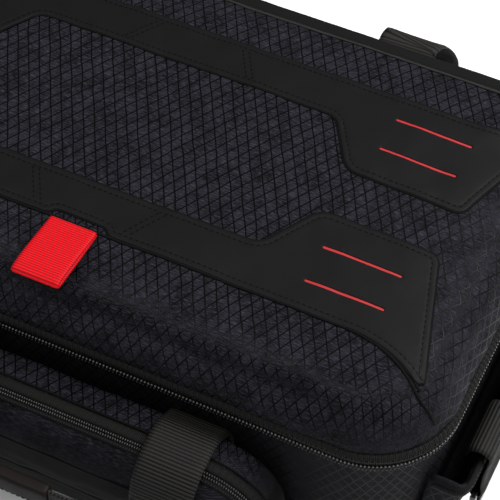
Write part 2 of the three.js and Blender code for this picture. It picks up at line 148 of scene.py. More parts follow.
def smooth_line(points, step, sharp=()):
    """A Catmull-Rom curve through points, resampled every step or so; it passes through each point."""
    points = np.array(points, float)
    out = [points[0]]
    for i in range(len(points) - 1):
        a, b = points[i], points[i + 1]
        before = a if i == 0 or i in sharp else points[i - 1]
        after = b if i + 2 == len(points) or i + 1 in sharp else points[i + 2]
        count = max(int(np.linalg.norm((b - a)[:3]) / step + 0.5), 1)
        for j in range(1, count + 1):
            t = j / count
            out.append(0.5 * (2 * a + (b - before) * t + (2 * before - 5 * a + 4 * b - after) * t ** 2
                              + (3 * a - before - 3 * b + after) * t ** 3))
    return np.array(out)


def arc_of(line):
    """Distance along a line of points."""
    steps = np.linalg.norm(np.diff(line, axis=0), axis=1)
    return np.concatenate([[0.0], np.cumsum(steps)])


def strip_uv(along, across):
    """Cloth coordinates of a strip's rows: along it, and each row's place across it."""
    return np.array([np.stack([along, np.full_like(along, a)], 1) for a in across])


def normals_of(grid):
    """Unit normals of a (rows, columns, 3) grid of points."""
    normal = np.cross(np.gradient(grid, axis=1), np.gradient(grid, axis=0))
    return normal / np.maximum(np.linalg.norm(normal, axis=2, keepdims=True), 1e-9)


def quads_at(r, c, rows, columns):
    """The quads whose first corners are at rows r and columns c of a grid."""
    nxt, up = (c + 1) % columns, (r + 1) % rows
    quads = np.stack([r * columns + c, r * columns + nxt, up * columns + nxt, up * columns + c], -1)
    return quads.reshape(-1, 4)


def grid_faces(rows, columns, wrap, keep=None):
    """Quads of a grid of vertices; keep is a (rows - 1, columns) mask."""
    last = columns if wrap else columns - 1
    r, c = np.meshgrid(np.arange(rows - 1), np.arange(last), indexing="ij")
    if keep is not None:
        r, c = r[keep[:, :last]], c[keep[:, :last]]
    return quads_at(r, c, rows, columns)


# ---- Making pieces ----------------------------------------------------------------------------------
def make(name, points, faces, material, uv=None):
    """A mesh object from points in millimetres."""
    mesh = bpy.data.meshes.new(name)
    points = np.asarray(points, float).reshape(-1, 3)
    faces = faces.tolist() if isinstance(faces, np.ndarray) else faces
    mesh.from_pydata(((points + OFFSET) * MM).tolist(), [], faces)
    if uv is not None:
        corner = np.zeros(len(mesh.loops), int)
        mesh.loops.foreach_get("vertex_index", corner)
        layer = mesh.uv_layers.new(name="weave")
        layer.data.foreach_set("uv", np.asarray(uv, float).reshape(-1, 2)[corner].ravel())
    mesh.polygons.foreach_set("use_smooth", [True] * len(mesh.polygons))
    obj = bpy.data.objects.new(name, mesh)
    bpy.context.scene.collection.objects.link(obj)
    mesh.materials.append(material)
    return obj


def weld(obj, distance=0.02):
    """Joins points that meet, drops loose ones and turns all faces outward."""
    work = bmesh.new()
    work.from_mesh(obj.data)
    bmesh.ops.remove_doubles(work, verts=work.verts, dist=distance * MM)
    loose = [v for v in work.verts if not v.link_faces]
    bmesh.ops.delete(work, geom=loose, context="VERTS")
    bmesh.ops.recalc_face_normals(work, faces=work.faces)
    work.to_mesh(obj.data)
    work.free()
    return obj


def thicken(obj, thickness):
    """Gives a skin its thickness, inward."""
    solid = obj.modifiers.new("Solid", "SOLIDIFY")
    solid.thickness = thickness * MM
    solid.offset = -1
    solid.use_even_offset = False
    graph = bpy.context.evaluated_depsgraph_get()
    mesh = bpy.data.meshes.new_from_object(obj.evaluated_get(graph))
    obj.modifiers.clear()
    obj.data = mesh
    return obj


def put(obj, body, slot, *nodes):
    """The piece rides on a body and stands for CAD nodes; slot, its finish, is not used."""
    if nodes:
        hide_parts(*nodes)
    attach(obj, body)
    return obj


def closed_band(name, grid, wrap, material, uv=None):
    """A solid whose sections are the grid's columns, each a closed loop of rows."""
    rows, columns = grid.shape[:2]
    last = columns if wrap else columns - 1
    r, c = np.meshgrid(np.arange(rows), np.arange(last), indexing="ij")
    faces = quads_at(r, c, rows, columns).tolist()
    if not wrap:
        faces.append([i * columns for i in range(rows)])
        faces.append([i * columns + columns - 1 for i in reversed(range(rows))])
    return weld(make(name, grid, faces, material, uv))


def closed_sheet(name, top, under, faces, material):
    """A solid between two layers of points that share their faces, with walls along every open edge."""
    count = len(top)
    edges = {(a, b) for face in faces for a, b in zip(face, face[1:] + face[:1])}
    walls = [[b, a, a + count, b + count] for a, b in sorted(edges) if (b, a) not in edges]
    lower = [[v + count for v in reversed(face)] for face in faces]
    return weld(make(name, np.vstack([top, under]), faces + lower + walls, material), 0.005)


def frames_on(path, up):
    """Tangent, side and up of each point of a path; up is one vector or one for each point."""
    path = np.asarray(path, float)
    tangent = np.gradient(path, axis=0)
    tangent /= np.maximum(np.linalg.norm(tangent, axis=1, keepdims=True), 1e-9)
    up = np.broadcast_to(np.asarray(up, float), path.shape)
    up = up - tangent * (up * tangent).sum(1, keepdims=True)
    up = up / np.maximum(np.linalg.norm(up, axis=1, keepdims=True), 1e-9)
    return tangent, np.cross(up, tangent), up


def bead_shape(rings=4, sides=8):
    """A rounded bead of half-size 1, and its faces."""
    points = [[0, 0, -1]]
    around = [(math.cos(2 * math.pi * j / sides), math.sin(2 * math.pi * j / sides)) for j in range(sides)]
    for i in range(1, rings):
        a = math.pi * i / rings - math.pi / 2
        points += [[math.cos(a) * x, math.cos(a) * y, math.sin(a)] for x, y in around]
    points.append([0, 0, 1])
    pairs = [(j, (j + 1) % sides) for j in range(sides)]
    last = 1 + (rings - 2) * sides
    faces = [[0, 1 + k, 1 + j] for j, k in pairs]
    for base in range(1, last, sides):
        faces += [[base + j, base + k, base + sides + k, base + sides + j] for j, k in pairs]
    faces += [[last + j, last + k, len(points) - 1] for j, k in pairs]
    return np.array(points, float), faces


def bead_line(name, path, up, pitch, size, material, lift=0.0, shape=None, tilt=0.0):
    """A bead every pitch along a path: size is its half-lengths along the path, across it and up."""
    points, faces = shape or bead_shape()
    path = np.asarray(path, float)
    arc = arc_of(path)
    stops = np.arange(pitch / 2, arc[-1], pitch)
    lines = path, np.broadcast_to(up, path.shape)
    places, ups = (np.stack([np.interp(stops, arc, line[:, i]) for i in range(3)], 1) for line in lines)
    tangent, side, up = frames_on(places, ups)
    tangent, side = tangent + tilt * side, side - tilt * tangent
    places = places + up * lift
    axes = zip(points.T, (tangent, side, up), size)
    offsets = sum(part[None, :, None] * axis[:, None] * half for part, axis, half in axes)
    stride = len(points)
    all_faces = [[v + i * stride for v in face] for i in range(len(places)) for face in faces]
    return make(name, places[:, None] + offsets, all_faces, material)


def stitch_line(name, path, up, material, pitch, length, width, lift=0.12):
    """Thread stitches along a path."""
    return bead_line(name, path, up, pitch, (length / 2, width / 2, width / 2), material, lift)


def merge(name, objects):
    """Several mesh objects as one."""
    work = bmesh.new()
    for obj in objects:
        work.from_mesh(obj.data)
    material = objects[0].data.materials[0]
    for obj in objects:
        bpy.data.objects.remove(obj)
    mesh = bpy.data.meshes.new(name)
    work.to_mesh(mesh)
    work.free()
    mesh.materials.append(material)
    result = bpy.data.objects.new(name, mesh)
    bpy.context.scene.collection.objects.link(result)
    return result


def webbing(name, stations, thickness, material, pitch, rib, columns):
    """Ribbed tape through stations of centre, width direction and width."""
    line = smooth_line(stations, pitch / 5)
    centre, across, width = line[:, :3], line[:, 3:6], line[:, 6]
    arc = arc_of(centre)
    _, down, across = frames_on(centre, across)
    wave = rib * (0.5 + 0.5 * np.cos(2 * math.pi * arc / pitch))
    places = np.linspace(-1, 1, columns)
    border = 2 * WEB_EDGE / width.mean()
    grid, uv = [], []
    for x, side in [(x, 1.0) for x in places] + [(x, -1.0) for x in places[::-1]]:
        rim = max(abs(x) - (1 - border), 0) / border
        half = (thickness / 2 + wave) * math.sqrt(max(1 - 0.85 * rim ** 2, 0))
        grid.append(centre + across * (x * width / 2)[:, None] - down * (side * half)[:, None])
        uv.append(np.stack([x * width / 2, arc], 1))
    return closed_band(name, np.array(grid), False, material, np.array(uv))


# ---- Materials --------------------------------------------------------------------------------------
class Look:
    """A procedural material built round one Principled shader."""

    def __init__(self, name, color, roughness, metallic=0.0, **constants):
        self.material = bpy.data.materials.new(name)
        self.material.use_nodes = True
        self.nodes = self.material.node_tree.nodes
        self.links = self.material.node_tree.links
        self.shader = self.nodes["Principled BSDF"]
        self.put("Base Color", color)
        self.put("Roughness", roughness)
        self.put("Metallic", metallic)
        for socket, value in constants.items():
            self.put(socket.replace("_", " "), value)

    def put(self, socket, value):
        self.feed(self.shader.inputs[socket], value)

    def feed(self, socket, value):
        if isinstance(value, bpy.types.NodeSocket):
            self.links.new(value, socket)
        elif isinstance(value, tuple) and len(value) == 3 and socket.type == "RGBA":
            socket.default_value = (*value, 1.0)
        else:
            socket.default_value = value

    def node(self, kind, inputs=None, output=0, **settings):
        made = self.nodes.new(kind)
        for key, value in settings.items():
            setattr(made, key, value)
        for key, value in (inputs or {}).items():
            self.feed(made.inputs[key], value)
        return made.outputs[output]

    def math(self, operation, a, b=0.0):
        return self.node("ShaderNodeMath", {0: a, 1: b}, operation=operation)

    def add(self, a, b):
        return self.math("ADD", a, b)

    def times(self, a, b):
        return self.math("MULTIPLY", a, b)

    def ramp(self, value, low, high, to_low=0.0, to_high=1.0):
        return self.node("ShaderNodeMapRange", {0: value, 1: low, 2: high, 3: to_low, 4: to_high},
                         interpolation_type="SMOOTHSTEP")

    def mix(self, factor, a, b):
        made = self.nodes.new("ShaderNodeMix")
        made.data_type = "RGBA"
        for socket, value in ((made.inputs[0], factor), (made.inputs[6], a), (made.inputs[7], b)):
            self.feed(socket, value)
        return made.outputs[2]

    def noise(self, vector, scale, detail=3.0, roughness=0.55):
        inputs = {"Vector": vector, "Scale": scale, "Detail": detail, "Roughness": roughness}
        return self.node("ShaderNodeTexNoise", inputs)

    def place(self):
        """The rest position in millimetres."""
        spot = self.node("ShaderNodeTexCoord", output=3)
        return self.node("ShaderNodeVectorMath", {0: spot, 3: 1000.0}, operation="SCALE")

    def weave(self):
        return self.node("ShaderNodeUVMap", uv_map="weave")

    def scaled(self, vector, factors):
        return self.node("ShaderNodeVectorMath", {0: vector, 1: factors}, operation="MULTIPLY")

    def bump(self, height, distance, strength=1.0):
        previous = self.shader.inputs["Normal"]
        inputs = {"Height": height, "Distance": distance * MM, "Strength": strength}
        if previous.is_linked:
            inputs["Normal"] = previous.links[0].from_socket
        self.put("Normal", self.node("ShaderNodeBump", inputs))


LATTICE = 6.41  # spacing of the cords
CORD_BLACK = (0.0004, 0.0004, 0.0006)


def shell_look(name, line_strength, dark, light):
    """Heathered cloth crossed by a triangular grid of fine glossy cords."""
    look = Look(name, dark, 0.8, Sheen_Weight=0.0, Sheen_Roughness=0.45, Specular_IOR_Level=0.09)
    place = look.weave()
    fibre = look.noise(look.scaled(place, (0.22, 1.7, 1.0)), 1.0, 4.0, 0.7)
    patch = look.noise(place, 0.06, 2.0)
    tone = look.add(look.ramp(fibre, 0.44, 0.68), look.times(look.ramp(patch, 0.35, 0.65), 0.22))
    cloth = look.mix(look.times(tone, 0.82), dark, light)
    wander = look.noise(place, 0.05, 1.0)
    drift = look.node("ShaderNodeCombineXYZ", {0: wander, 1: wander, 2: 0.0})
    inputs = {0: place, 1: look.scaled(drift, (1.6, 1.1, 0.0))}
    bent = look.node("ShaderNodeVectorMath", inputs, operation="ADD")
    masks = []
    for angle, strength in ((30, 1.0), (150, 1.0), (90, 0.4)):
        a = math.radians(angle)
        inputs = {0: bent, 1: (math.cos(a) / LATTICE, math.sin(a) / LATTICE, 0.0)}
        across = look.node("ShaderNodeVectorMath", inputs, output=1, operation="DOT_PRODUCT")
        saw = look.math("ABSOLUTE", look.math("SUBTRACT", look.math("FRACT", across), 0.5))
        masks.append(look.times(look.ramp(look.times(saw, LATTICE), 0.5, 0.27), strength))
    lines = look.math("MAXIMUM", look.math("MAXIMUM", masks[0], masks[1]), masks[2])
    knots = look.times(masks[0], masks[1])
    cord = look.times(look.math("MINIMUM", look.add(lines, knots), 1.0), line_strength)
    look.put("Base Color", look.mix(cord, cloth, CORD_BLACK))
    look.put("Roughness", look.math("SUBTRACT", 0.85, look.times(cord, 0.5)))
    look.bump(fibre, 0.12, 0.5)
    look.bump(lines, 0.32, line_strength)
    return look.material


def leather_look(name, color, roughness):
    look = Look(name, color, roughness, Specular_IOR_Level=0.1)
    place = look.place()
    inputs = {"Vector": place, "Scale": 1.7}
    grain = look.node("ShaderNodeTexVoronoi", inputs, feature="DISTANCE_TO_EDGE")
    cloud = look.noise(place, 0.035, 3.0)
    look.put("Base Color", look.mix(cloud, color, tuple(c * 1.35 for c in color)))
    look.put("Roughness", look.add(look.times(look.noise(place, 0.4), 0.16), roughness - 0.08))
    look.bump(look.ramp(grain, 0.0, 0.25), 0.05, 0.5)
    return look.material


def webbing_look(name, low, high, roughness=0.55, pitch=1.5, sheen=0.03):
    """Twisted warp threads along the tape; the ribs themselves are modelled, and their colour is painted
    shade in the troughs and painted highlight on the crests.
    """
    look = Look(name, high, roughness, Sheen_Weight=sheen, Sheen_Roughness=0.4, Specular_IOR_Level=0.14)
    place = look.weave()
    split = look.node("ShaderNodeSeparateXYZ", {0: place})
    along = look.node("ShaderNodeSeparateXYZ", {0: place}, output=1)
    thread = look.math("SINE", look.times(split, 2 * math.pi / 0.9))
    rib = look.math("COSINE", look.times(along, 2 * math.pi / pitch))
    # Painted shade in the rib troughs and painted highlight on the crests.
    rib_shade_and_highlight = look.ramp(look.add(rib, look.times(thread, 0.2)), -0.9, 0.1)
    fuzz = look.noise(look.scaled(place, (2.2, 0.8, 1.0)), 1.0, 4.0)
    tone = look.times(rib_shade_and_highlight, look.ramp(fuzz, 0.2, 0.75, 0.6, 1.0))
    look.put("Base Color", look.mix(tone, low, high))
    look.put("Roughness", look.add(look.times(fuzz, 0.2), roughness - 0.08))
    look.bump(thread, 0.1, 0.5)
    look.bump(fuzz, 0.08, 0.4)
    return look.material


def tape_look(name, low, high):
    """Close-knit zipper tape: fine ribs across it."""
    look = Look(name, high, 0.7, Specular_IOR_Level=0.1)
    place = look.weave()
    along = look.node("ShaderNodeSeparateXYZ", {0: place})
    rib = look.math("SINE", look.times(along, 2 * math.pi / 1.1))
    fuzz = look.noise(place, 1.3, 4.0)
    tone = look.times(look.ramp(rib, -1.0, 1.0, 0.35, 1.0), look.ramp(fuzz, 0.25, 0.7, 0.5, 1.0))
    look.put("Base Color", look.mix(tone, low, high))
    look.bump(rib, 0.15, 0.6)
    look.bump(fuzz, 0.1, 0.5)
    return look.material


def plain_look(name, color, roughness, metallic=0.0, grain=0.8, depth=0.04, spread=1.3, **constants):
    """Moulded, painted or felted stuff: a slow change of tone and a fine grain."""
    look = Look(name, color, roughness, metallic, **constants)
    place = look.place()
    fine = look.noise(place, grain, 4.0)
    tone = look.noise(place, 0.05, 3.0)
    dark, light = tuple(c / spread for c in color), tuple(c * spread for c in color)
    look.put("Base Color", look.mix(tone, dark, light))
    look.put("Roughness", look.add(look.times(fine, 0.2), roughness - 0.1))
    look.bump(fine, depth, 0.6)
    return look.material


CLOTH = shell_look("ripstop_cloth", 1.0, (0.0012, 0.0011, 0.0022), (0.03, 0.029, 0.039))
PLAIN_CLOTH = shell_look("heather_cloth", 0.0, (0.001, 0.0009, 0.0016), (0.019, 0.0175, 0.023))
WALL_CLOTH = shell_look("wall_cloth", 0.6, (0.001, 0.0009, 0.0014), (0.016, 0.0155, 0.02))
# A near-black copy of the cloth: painted shade for the front pocket below its lower seam.
DARK_CLOTH = shell_look("shade_cloth", 0.0, (0.0006, 0.0005, 0.0008), (0.0055, 0.005, 0.0062))
LEATHER = leather_look("guard_leatherette", (0.0032, 0.0028, 0.0029), 0.58)
GRIP_LEATHER = leather_look("grip_leatherette", (0.005, 0.0036, 0.0032), 0.55)
RED_WEB = webbing_look("red_webbing", (0.22, 0.0005, 0.002), (0.66, 0.0022, 0.008), 0.55, 1.6, 0.0)
BLACK_WEB = webbing_look("black_webbing", (0.0002, 0.0002, 0.0002), (0.0185, 0.0178, 0.0154), 0.6, RIB,
                         0.0)
GREY_WEB = webbing_look("grey_strap", (0.05, 0.05, 0.05), (0.16, 0.16, 0.158), 0.6)
TAPE = tape_look("zip_tape", (0.001, 0.001, 0.0009), (0.0155, 0.0155, 0.0145))
BLACK_TAPE = tape_look("black_binding", (0.0012, 0.0012, 0.0012), (0.005, 0.005, 0.005))
POCKET_TAPE = tape_look("pocket_tape", (0.001, 0.001, 0.0009), (0.0095, 0.0093, 0.0085))
# Light grey teeth: a painted highlight on what is a black coil.
TEETH = plain_look("coil_teeth", (0.1, 0.1, 0.095), 0.25, 0.0, 2.0, 0.02, Specular_IOR_Level=0.6)
DIM_TEETH = plain_look("pocket_teeth", (0.011, 0.0105, 0.0095), 0.4, 0.0, 2.0, 0.02,
                       Specular_IOR_Level=0.5)
# Near-black for the bound seams and the zipper's core, and for the band round each guard, which is a
# painted shadow line.
EDGE_BLACK = plain_look("seam_black_and_painted_shadow_line", (0.0012, 0.0012, 0.0012), 0.8, 0.0, 2.0, 0.02,
                        Specular_IOR_Level=0.1)
THREAD = plain_look("black_thread", (0.0015, 0.0015, 0.0015), 0.8, 0.0, 3.0, 0.05,
                    Specular_IOR_Level=0.08)
GREY_THREAD = plain_look("grey_thread", (0.016, 0.0155, 0.0145), 0.7, 0.0, 3.0, 0.05,
                         Specular_IOR_Level=0.15)
RED_CLOTH = plain_look("red_backing", (0.3, 0.0025, 0.005), 0.65, 0.0, 1.5, 0.12, 1.12)
LINING = plain_look("lining_felt", (0.19, 0.195, 0.205), 0.95, 0.0, 0.9, 0.25, 1.15, Sheen_Weight=0.4)
METAL = plain_look("slider_metal", (0.035, 0.035, 0.038), 0.3, 0.85, 0.5, 0.02)
RUBBER = plain_look("foot_rubber", (0.012, 0.012, 0.012), 0.8, 0.0, 1.2, 0.1)
BOARD = plain_look("base_board", (0.012, 0.012, 0.014), 0.65, 0.0, 0.7, 0.15)


# ---- Camera, floor and light ------------------------------------------------------------------------
def make_camera():
    forward = Vector((-0.27316, 0.54031, -0.79590)).normalized()
    right = forward.cross(Vector((0, 0, 1))).normalized()
    up = right.cross(forward)
    roll = Matrix.Rotation(math.radians(-1.36), 3, -forward)
    right, up = roll @ right, roll @ up
    data = bpy.data.cameras.new("camera")
    data.sensor_width = 36.0
    data.lens = 138.48
    camera = bpy.data.objects.new("camera", data)
    place = Vector((393.0, -643.2 + OFFSET[1], CROWN + 859.8)) * MM
    turn = Matrix((right, up, -forward)).transposed()
    camera.matrix_world = Matrix.Translation(place) @ turn.to_4x4()
    bpy.context.scene.collection.objects.link(camera)
    bpy.context.scene.camera = camera


FLOOR_RADIUS = 4000.0


def make_floor():
    look = Look("pale_floor", (0.85, 0.85, 0.85), 0.55)
    tone = look.noise(look.place(), 0.004, 3.0)
    look.put("Base Color", look.mix(tone, (0.84, 0.84, 0.84), (0.88, 0.88, 0.88)))
    look.bump(look.noise(look.place(), 0.5), 0.05, 0.2)
    angles = np.linspace(0, 2 * math.pi, 65)[:-1]
    ring = [[math.cos(a) * FLOOR_RADIUS, math.sin(a) * FLOOR_RADIUS, 0.0] for a in angles]
    floor = make("floor", ring, [list(range(len(ring)))], look.material)


def area_light(name, place, target, size, energy):
    data = bpy.data.lights.new(name, "AREA")
    data.shape = "RECTANGLE"
    data.size, data.size_y = size
    data.energy = energy
    light = bpy.data.objects.new(name, data)
    light.location = Vector(place)
    light.rotation_mode = "QUATERNION"
    light.rotation_quaternion = (Vector(target) - Vector(place)).to_track_quat("-Z", "Y")
    bpy.context.scene.collection.objects.link(light)


def make_light():
    world = bpy.data.worlds.new("studio")
    world.use_nodes = True
    sky = world.node_tree.nodes["Background"].inputs
    sky[0].default_value = (0.95, 0.97, 1.0, 1.0)
    sky[1].default_value = 0.27
    bpy.context.scene.world = world
    area_light("key", (0.9, 0.6, 1.4), (0.0, 0.0, 0.1), (1.2, 0.9), 40.0)
    area_light("overhead", (-0.4, -0.5, 1.5), (0.0, 0.0, 0.1), (0.9, 0.9), 13.0)
    area_light("side", (1.5, -0.3, 0.8), (0.1, 0.0, 0.1), (0.8, 1.0), 2.0)
    bpy.context.scene.view_settings.view_transform = "Standard"
    bpy.context.scene.view_settings.look = "None"


make_camera()
make_floor()
make_light()

# ---- Lid --------------------------------------------------------------------------------------------
def bag_plan(step, corner_step=None):
    """The zipper's outline, with a point every step."""
    return Plan((HALF_X, HALF_Y), (CORNER,) * 4, step, corner_step)


PLAN = bag_plan(3.4, 3.0)
FINE = bag_plan(0.36)
# Inset and height of the lid's cloth up its sides: plain all round, and with a roll and a crease in front.
LID_SIDE = [(3.4, ZIP_Z + 7.4), (2.4, ZIP_Z + 10), (3, ZIP_Z + 16), (5, ZIP_Z + 22), (8, ZIP_Z + 29),
            (12, ZIP_Z + 35), (LID_REAR_INSET, ZIP_Z + 40.7), (28, CROWN - 5.2), (40, CROWN - 3.6),
            (53, CROWN - 2.4)]
LID_FRONT = [(3.4, ZIP_Z + 7.4), (1.8, ZIP_Z + 9.5), (1.2, ZIP_Z + 13), (2.2, ZIP_Z + 18),
             (5.5, ZIP_Z + 23.5), (10, ZIP_Z + 27.6), (13.2, ZIP_Z + 30.0), (13.7, ZIP_Z + 32),
             (14.8, ZIP_Z + 35.5), (19, ZIP_Z + 39.4), (27, CROWN - 5.6), (38, CROWN - 3.7),
             (53, CROWN - 2.4)]
TO_MIDDLE = HALF_Y - 0.001
LID_TOP = [(53, CROWN - 2.4), (60, CROWN - 2.0), (95, CROWN - 0.6), (125, CROWN), (TO_MIDDLE, CROWN)]
LID_ROWS = 40
FLAT_FROM = 14.0  # the inset where the lid's sides turn into its top


def rear_stations(plan):
    """Where the lid meets the raised rear wall instead of the zipper."""
    return plan.normal[:, 1] > math.sin(math.radians(REAR_ANGLE))


def plan_grid(plan, profile):
    return np.array([np.column_stack([plan.ring(i), np.full(plan.count, z)]) for i, z in profile])


def even_rows(points, count):
    """A smooth line through points as count evenly spaced rows."""
    line = smooth_line(points, 0.5)
    arc = arc_of(line)
    places = np.linspace(0, arc[-1], count)
    return np.stack([np.interp(places, arc, line[:, i]) for i in range(2)], 1)


def ease(values, low, high):
    """Smooth step from 0 at low to 1 at high."""
    t = np.clip((values - low) / (high - low), 0, 1)
    return t * t * (3 - 2 * t)


def radial_uv(plan, profile):
    """Cloth coordinates that run on from the flat top down over the sides."""
    arc = arc_of(np.array(profile))
    at = np.interp(FLAT_FROM, [p[0] for p in profile[-LID_ROWS:]], arc[-LID_ROWS:])
    return np.array([plan.ring(max(inset, FLAT_FROM)) if a >= at
                     else plan.ring(FLAT_FROM) + plan.normal * (at - a)
                     for (inset, _), a in zip(profile, arc)])


def ripple(points, amount, scale, seed, stretch=(1, 1, 1)):
    """Slow uneven noise for every point, as cloth has."""
    shift = Vector((seed * 7.3, seed * 3.1, seed * 5.7))
    spots = points.reshape(-1, 3) * np.array(stretch) / scale
    values = [noise.noise(Vector(p) + shift) + 0.5 * noise.noise(Vector(p) * 2.1 + shift) for p in spots]
    return amount * np.array(values).reshape(points.shape[:-1])


def fillet_path(corners, step):
    """A closed outline with rounded corners: corners are (x, y, radius)."""
    points = []
    count = len(corners)
    for i, (x, y, radius) in enumerate(corners):
        here = np.array([x, y], float)
        back = np.array(corners[i - 1][:2], float) - here
        ahead = np.array(corners[(i + 1) % count][:2], float) - here
        back, ahead = back / np.linalg.norm(back), ahead / np.linalg.norm(ahead)
        half = math.acos(float(np.clip(back @ ahead, -1, 1))) / 2
        if radius <= 0 or half > 1.5:
            points.append(here)
            continue
        middle = (back + ahead) / np.linalg.norm(back + ahead)
        centre = here + middle * radius / math.sin(half)
        start = here + back * radius / math.tan(half) - centre
        end = here + ahead * radius / math.tan(half) - centre
        a0, a1 = math.atan2(start[1], start[0]), math.atan2(end[1], end[0])
        turn = (a1 - a0 + math.pi) % (2 * math.pi) - math.pi
        steps = max(int(abs(turn) * radius / step), 3)
        angles = a0 + turn * np.arange(steps + 1) / steps
        points += list(centre + radius * np.stack([np.cos(angles), np.sin(angles)], 1))
    points = np.array(points)
    closed = np.vstack([points, points[:1]])
    arc = arc_of(closed)
    places = np.linspace(0, arc[-1], max(int(arc[-1] / step), 8) + 1)[:-1]
    return np.stack([np.interp(places, arc, closed[:, i]) for i in range(2)], 1)


GUARD_OUT = 83.0  # the front edge of the front guard's middle strip
TAB_HALF = 15.0
SLIT_FROM, SLIT_TO, SLIT_ROWS = 134.0, 182.3, (40.0, 64.8)
SLIT_HALF = 0.9


def guard_outline(side, step):
    """A guard seen from above, anticlockwise; side is -1 at the front and 1 at the rear.

    The front guard runs out to the lid's corner and is notched round the pull tab.
    """
    corner = [(221.5, 103, 3), (197, 84, 82)] if side < 0 else [(219, 90.6, 3), (195, 83, 150)]
    half = [corner[0], (195, 16.5, 7), (122.5, 16.5, 15), (100.6, 52.6, 12)]
    notch = [(TAB_HALF + 5, GUARD_OUT, 4), (TAB_HALF + 1, GUARD_OUT - 4.4, 4)] if side < 0 else []
    right = notch[::-1] + [corner[1]] + half
    corners = right + [(-x, y, r) for x, y, r in right[::-1]]
    path = fillet_path([(x, side * y, r) for x, y, r in corners], step)
    area = np.sum(path[:, 0] * np.roll(path[:, 1], -1) - np.roll(path[:, 0], -1) * path[:, 1])
    return path if area > 0 else path[::-1]


def inside(points, outline):
    """Which points lie inside a closed outline."""
    x, y = points[:, 0][:, None], points[:, 1][:, None]
    x0, y0 = outline[:, 0][None], outline[:, 1][None]
    x1, y1 = np.roll(x0, -1, 1), np.roll(y0, -1, 1)
    crossing = ((y0 > y) != (y1 > y)) & (x < (x1 - x0) * (y - y0) / (y1 - y0 + 1e-12) + x0)
    return crossing.sum(1) % 2 == 1


FRAMES = 12
STIFFNESS = 12.0


def inflate(obj, held, pressure, cap):
    """Blender's cloth fills the padding out; held points stay, and no point moves further than cap."""
    scene = bpy.context.scene
    rest = np.array([v.co for v in obj.data.vertices])
    group = obj.vertex_groups.new(name="held")
    group.add([int(i) for i in np.flatnonzero(held)], 1.0, "ADD")
    cloth = obj.modifiers.new("Cloth", "CLOTH")
    settings = cloth.settings
    settings.quality = 4
    settings.mass = 0.25
    settings.tension_stiffness = STIFFNESS
    settings.compression_stiffness = STIFFNESS
    settings.shear_stiffness = STIFFNESS / 2
    settings.bending_stiffness = 0.6
    settings.use_pressure = True
    settings.uniform_pressure_force = pressure
    settings.vertex_group_mass = "held"
    settings.effector_weights.gravity = 0.0
    cloth.point_cache.frame_start = 1
    cloth.point_cache.frame_end = FRAMES
    for step in range(1, FRAMES + 1):
        scene.frame_set(step)
    graph = bpy.context.evaluated_depsgraph_get()
    result = obj.evaluated_get(graph)
    moved = np.array([v.co for v in result.data.vertices]) - rest
    distance = np.linalg.norm(moved, axis=1, keepdims=True)
    limit = cap * MM
    moved *= limit * np.tanh(distance / limit) / np.maximum(distance, 1e-9)
    obj.modifiers.remove(cloth)
    obj.vertex_groups.clear()
    obj.data.vertices.foreach_set("co", (rest + moved).ravel())
    obj.data.update()
    scene.frame_set(1)


def make_lid_cloth():
    top = smooth_line(LID_TOP, 4.0)[1:]
    profile = np.vstack([even_rows(LID_SIDE, LID_ROWS), top])
    front = np.vstack([even_rows(LID_FRONT, LID_ROWS), top])
    rim = PLAN.ring(0.0)
    weight = ease(-PLAN.normal[:, 1], 0.7, 0.99) * ease(-np.abs(rim[:, 0]), -205.0, -150.0)
    plain, creased = plan_grid(PLAN, profile), plan_grid(PLAN, front)
    grid = plain + (creased - plain) * weight[None, :, None]
    edge_row = int(np.argmin(np.abs(profile[:, 0] - LID_REAR_INSET)))
    normal = normals_of(grid)
    fade = np.clip(arc_of(profile) / 6.0, 0, 1)[:, None]
    wave = ripple(grid, 0.9, 34.0, 1, (0.7, 1, 1.6)) + ripple(grid, 0.35, 11.0, 2, (0.8, 1, 1.5))
    grid = grid + normal * (wave * fade)[..., None] * np.sign(normal[-2:, :, 2].mean())
    keep = np.ones((len(profile) - 1, PLAN.count), bool)
    keep[:edge_row, rear_stations(PLAN)] = False
    faces = grid_faces(len(profile), PLAN.count, True, keep)
    lid = make("lid_cloth", grid, faces, CLOTH, radial_uv(PLAN, profile))
    flat = grid.reshape(-1, 3)
    under_guard = inside(flat, guard_outline(-1, 6.0)) | inside(flat, guard_outline(1, 6.0))
    row = np.repeat(np.arange(len(profile)), PLAN.count)
    crease = (np.abs(flat[:, 2] - (ZIP_Z + 31)) < 1.8) & np.tile(weight > 0.3, len(profile))
    rear_edge = (row <= edge_row + 1) & np.tile(rear_stations(PLAN), len(profile))
    inflate(lid, under_guard | (row < 2) | crease | rear_edge, 3.5, 2.4)
    weld(lid, 0.05)
    return thicken(lid, 5.0)


lid_cloth = make_lid_cloth()
put(lid_cloth, "lid", "shell_fabric", "lid_shell")


lid_tree = BVHTree.FromObject(lid_cloth, bpy.context.evaluated_depsgraph_get())


def on_lid(points, lift=0.0):
    """Drops points in the plan onto the lid's cloth, lift above it; also the surface's slope there."""
    out, normals = [], []
    for x, y in np.asarray(points)[:, :2]:
        start = Vector(((x + OFFSET[0]) * MM, (y + OFFSET[1]) * MM, 0.4))
        hit, normal, _, _ = lid_tree.ray_cast(start, Vector((0, 0, -1)))
        z = hit.z / MM if hit else CROWN - 6
        out.append((x, y, z))
        normals.append(normal if hit else Vector((0, 0, 1)))
    return np.array(out) + np.array([0, 0, lift]), np.array([list(n) for n in normals])


def offset_path(path, distance):
    """An anticlockwise closed path moved inward."""
    tangent = np.roll(path, -1, 0) - np.roll(path, 1, 0)
    tangent /= np.linalg.norm(tangent, axis=1, keepdims=True)
    return path + np.stack([-tangent[:, 1], tangent[:, 0]], 1) * distance


def slit_outline(x0, x1, y, half, step):
    """A slot with round ends, anticlockwise."""
    corners = ((x0, y - half), (x1, y - half), (x1, y + half), (x0, y + half))
    return fillet_path([(*corner, half * 0.98) for corner in corners], step)


GUARD_THICK = 1.15
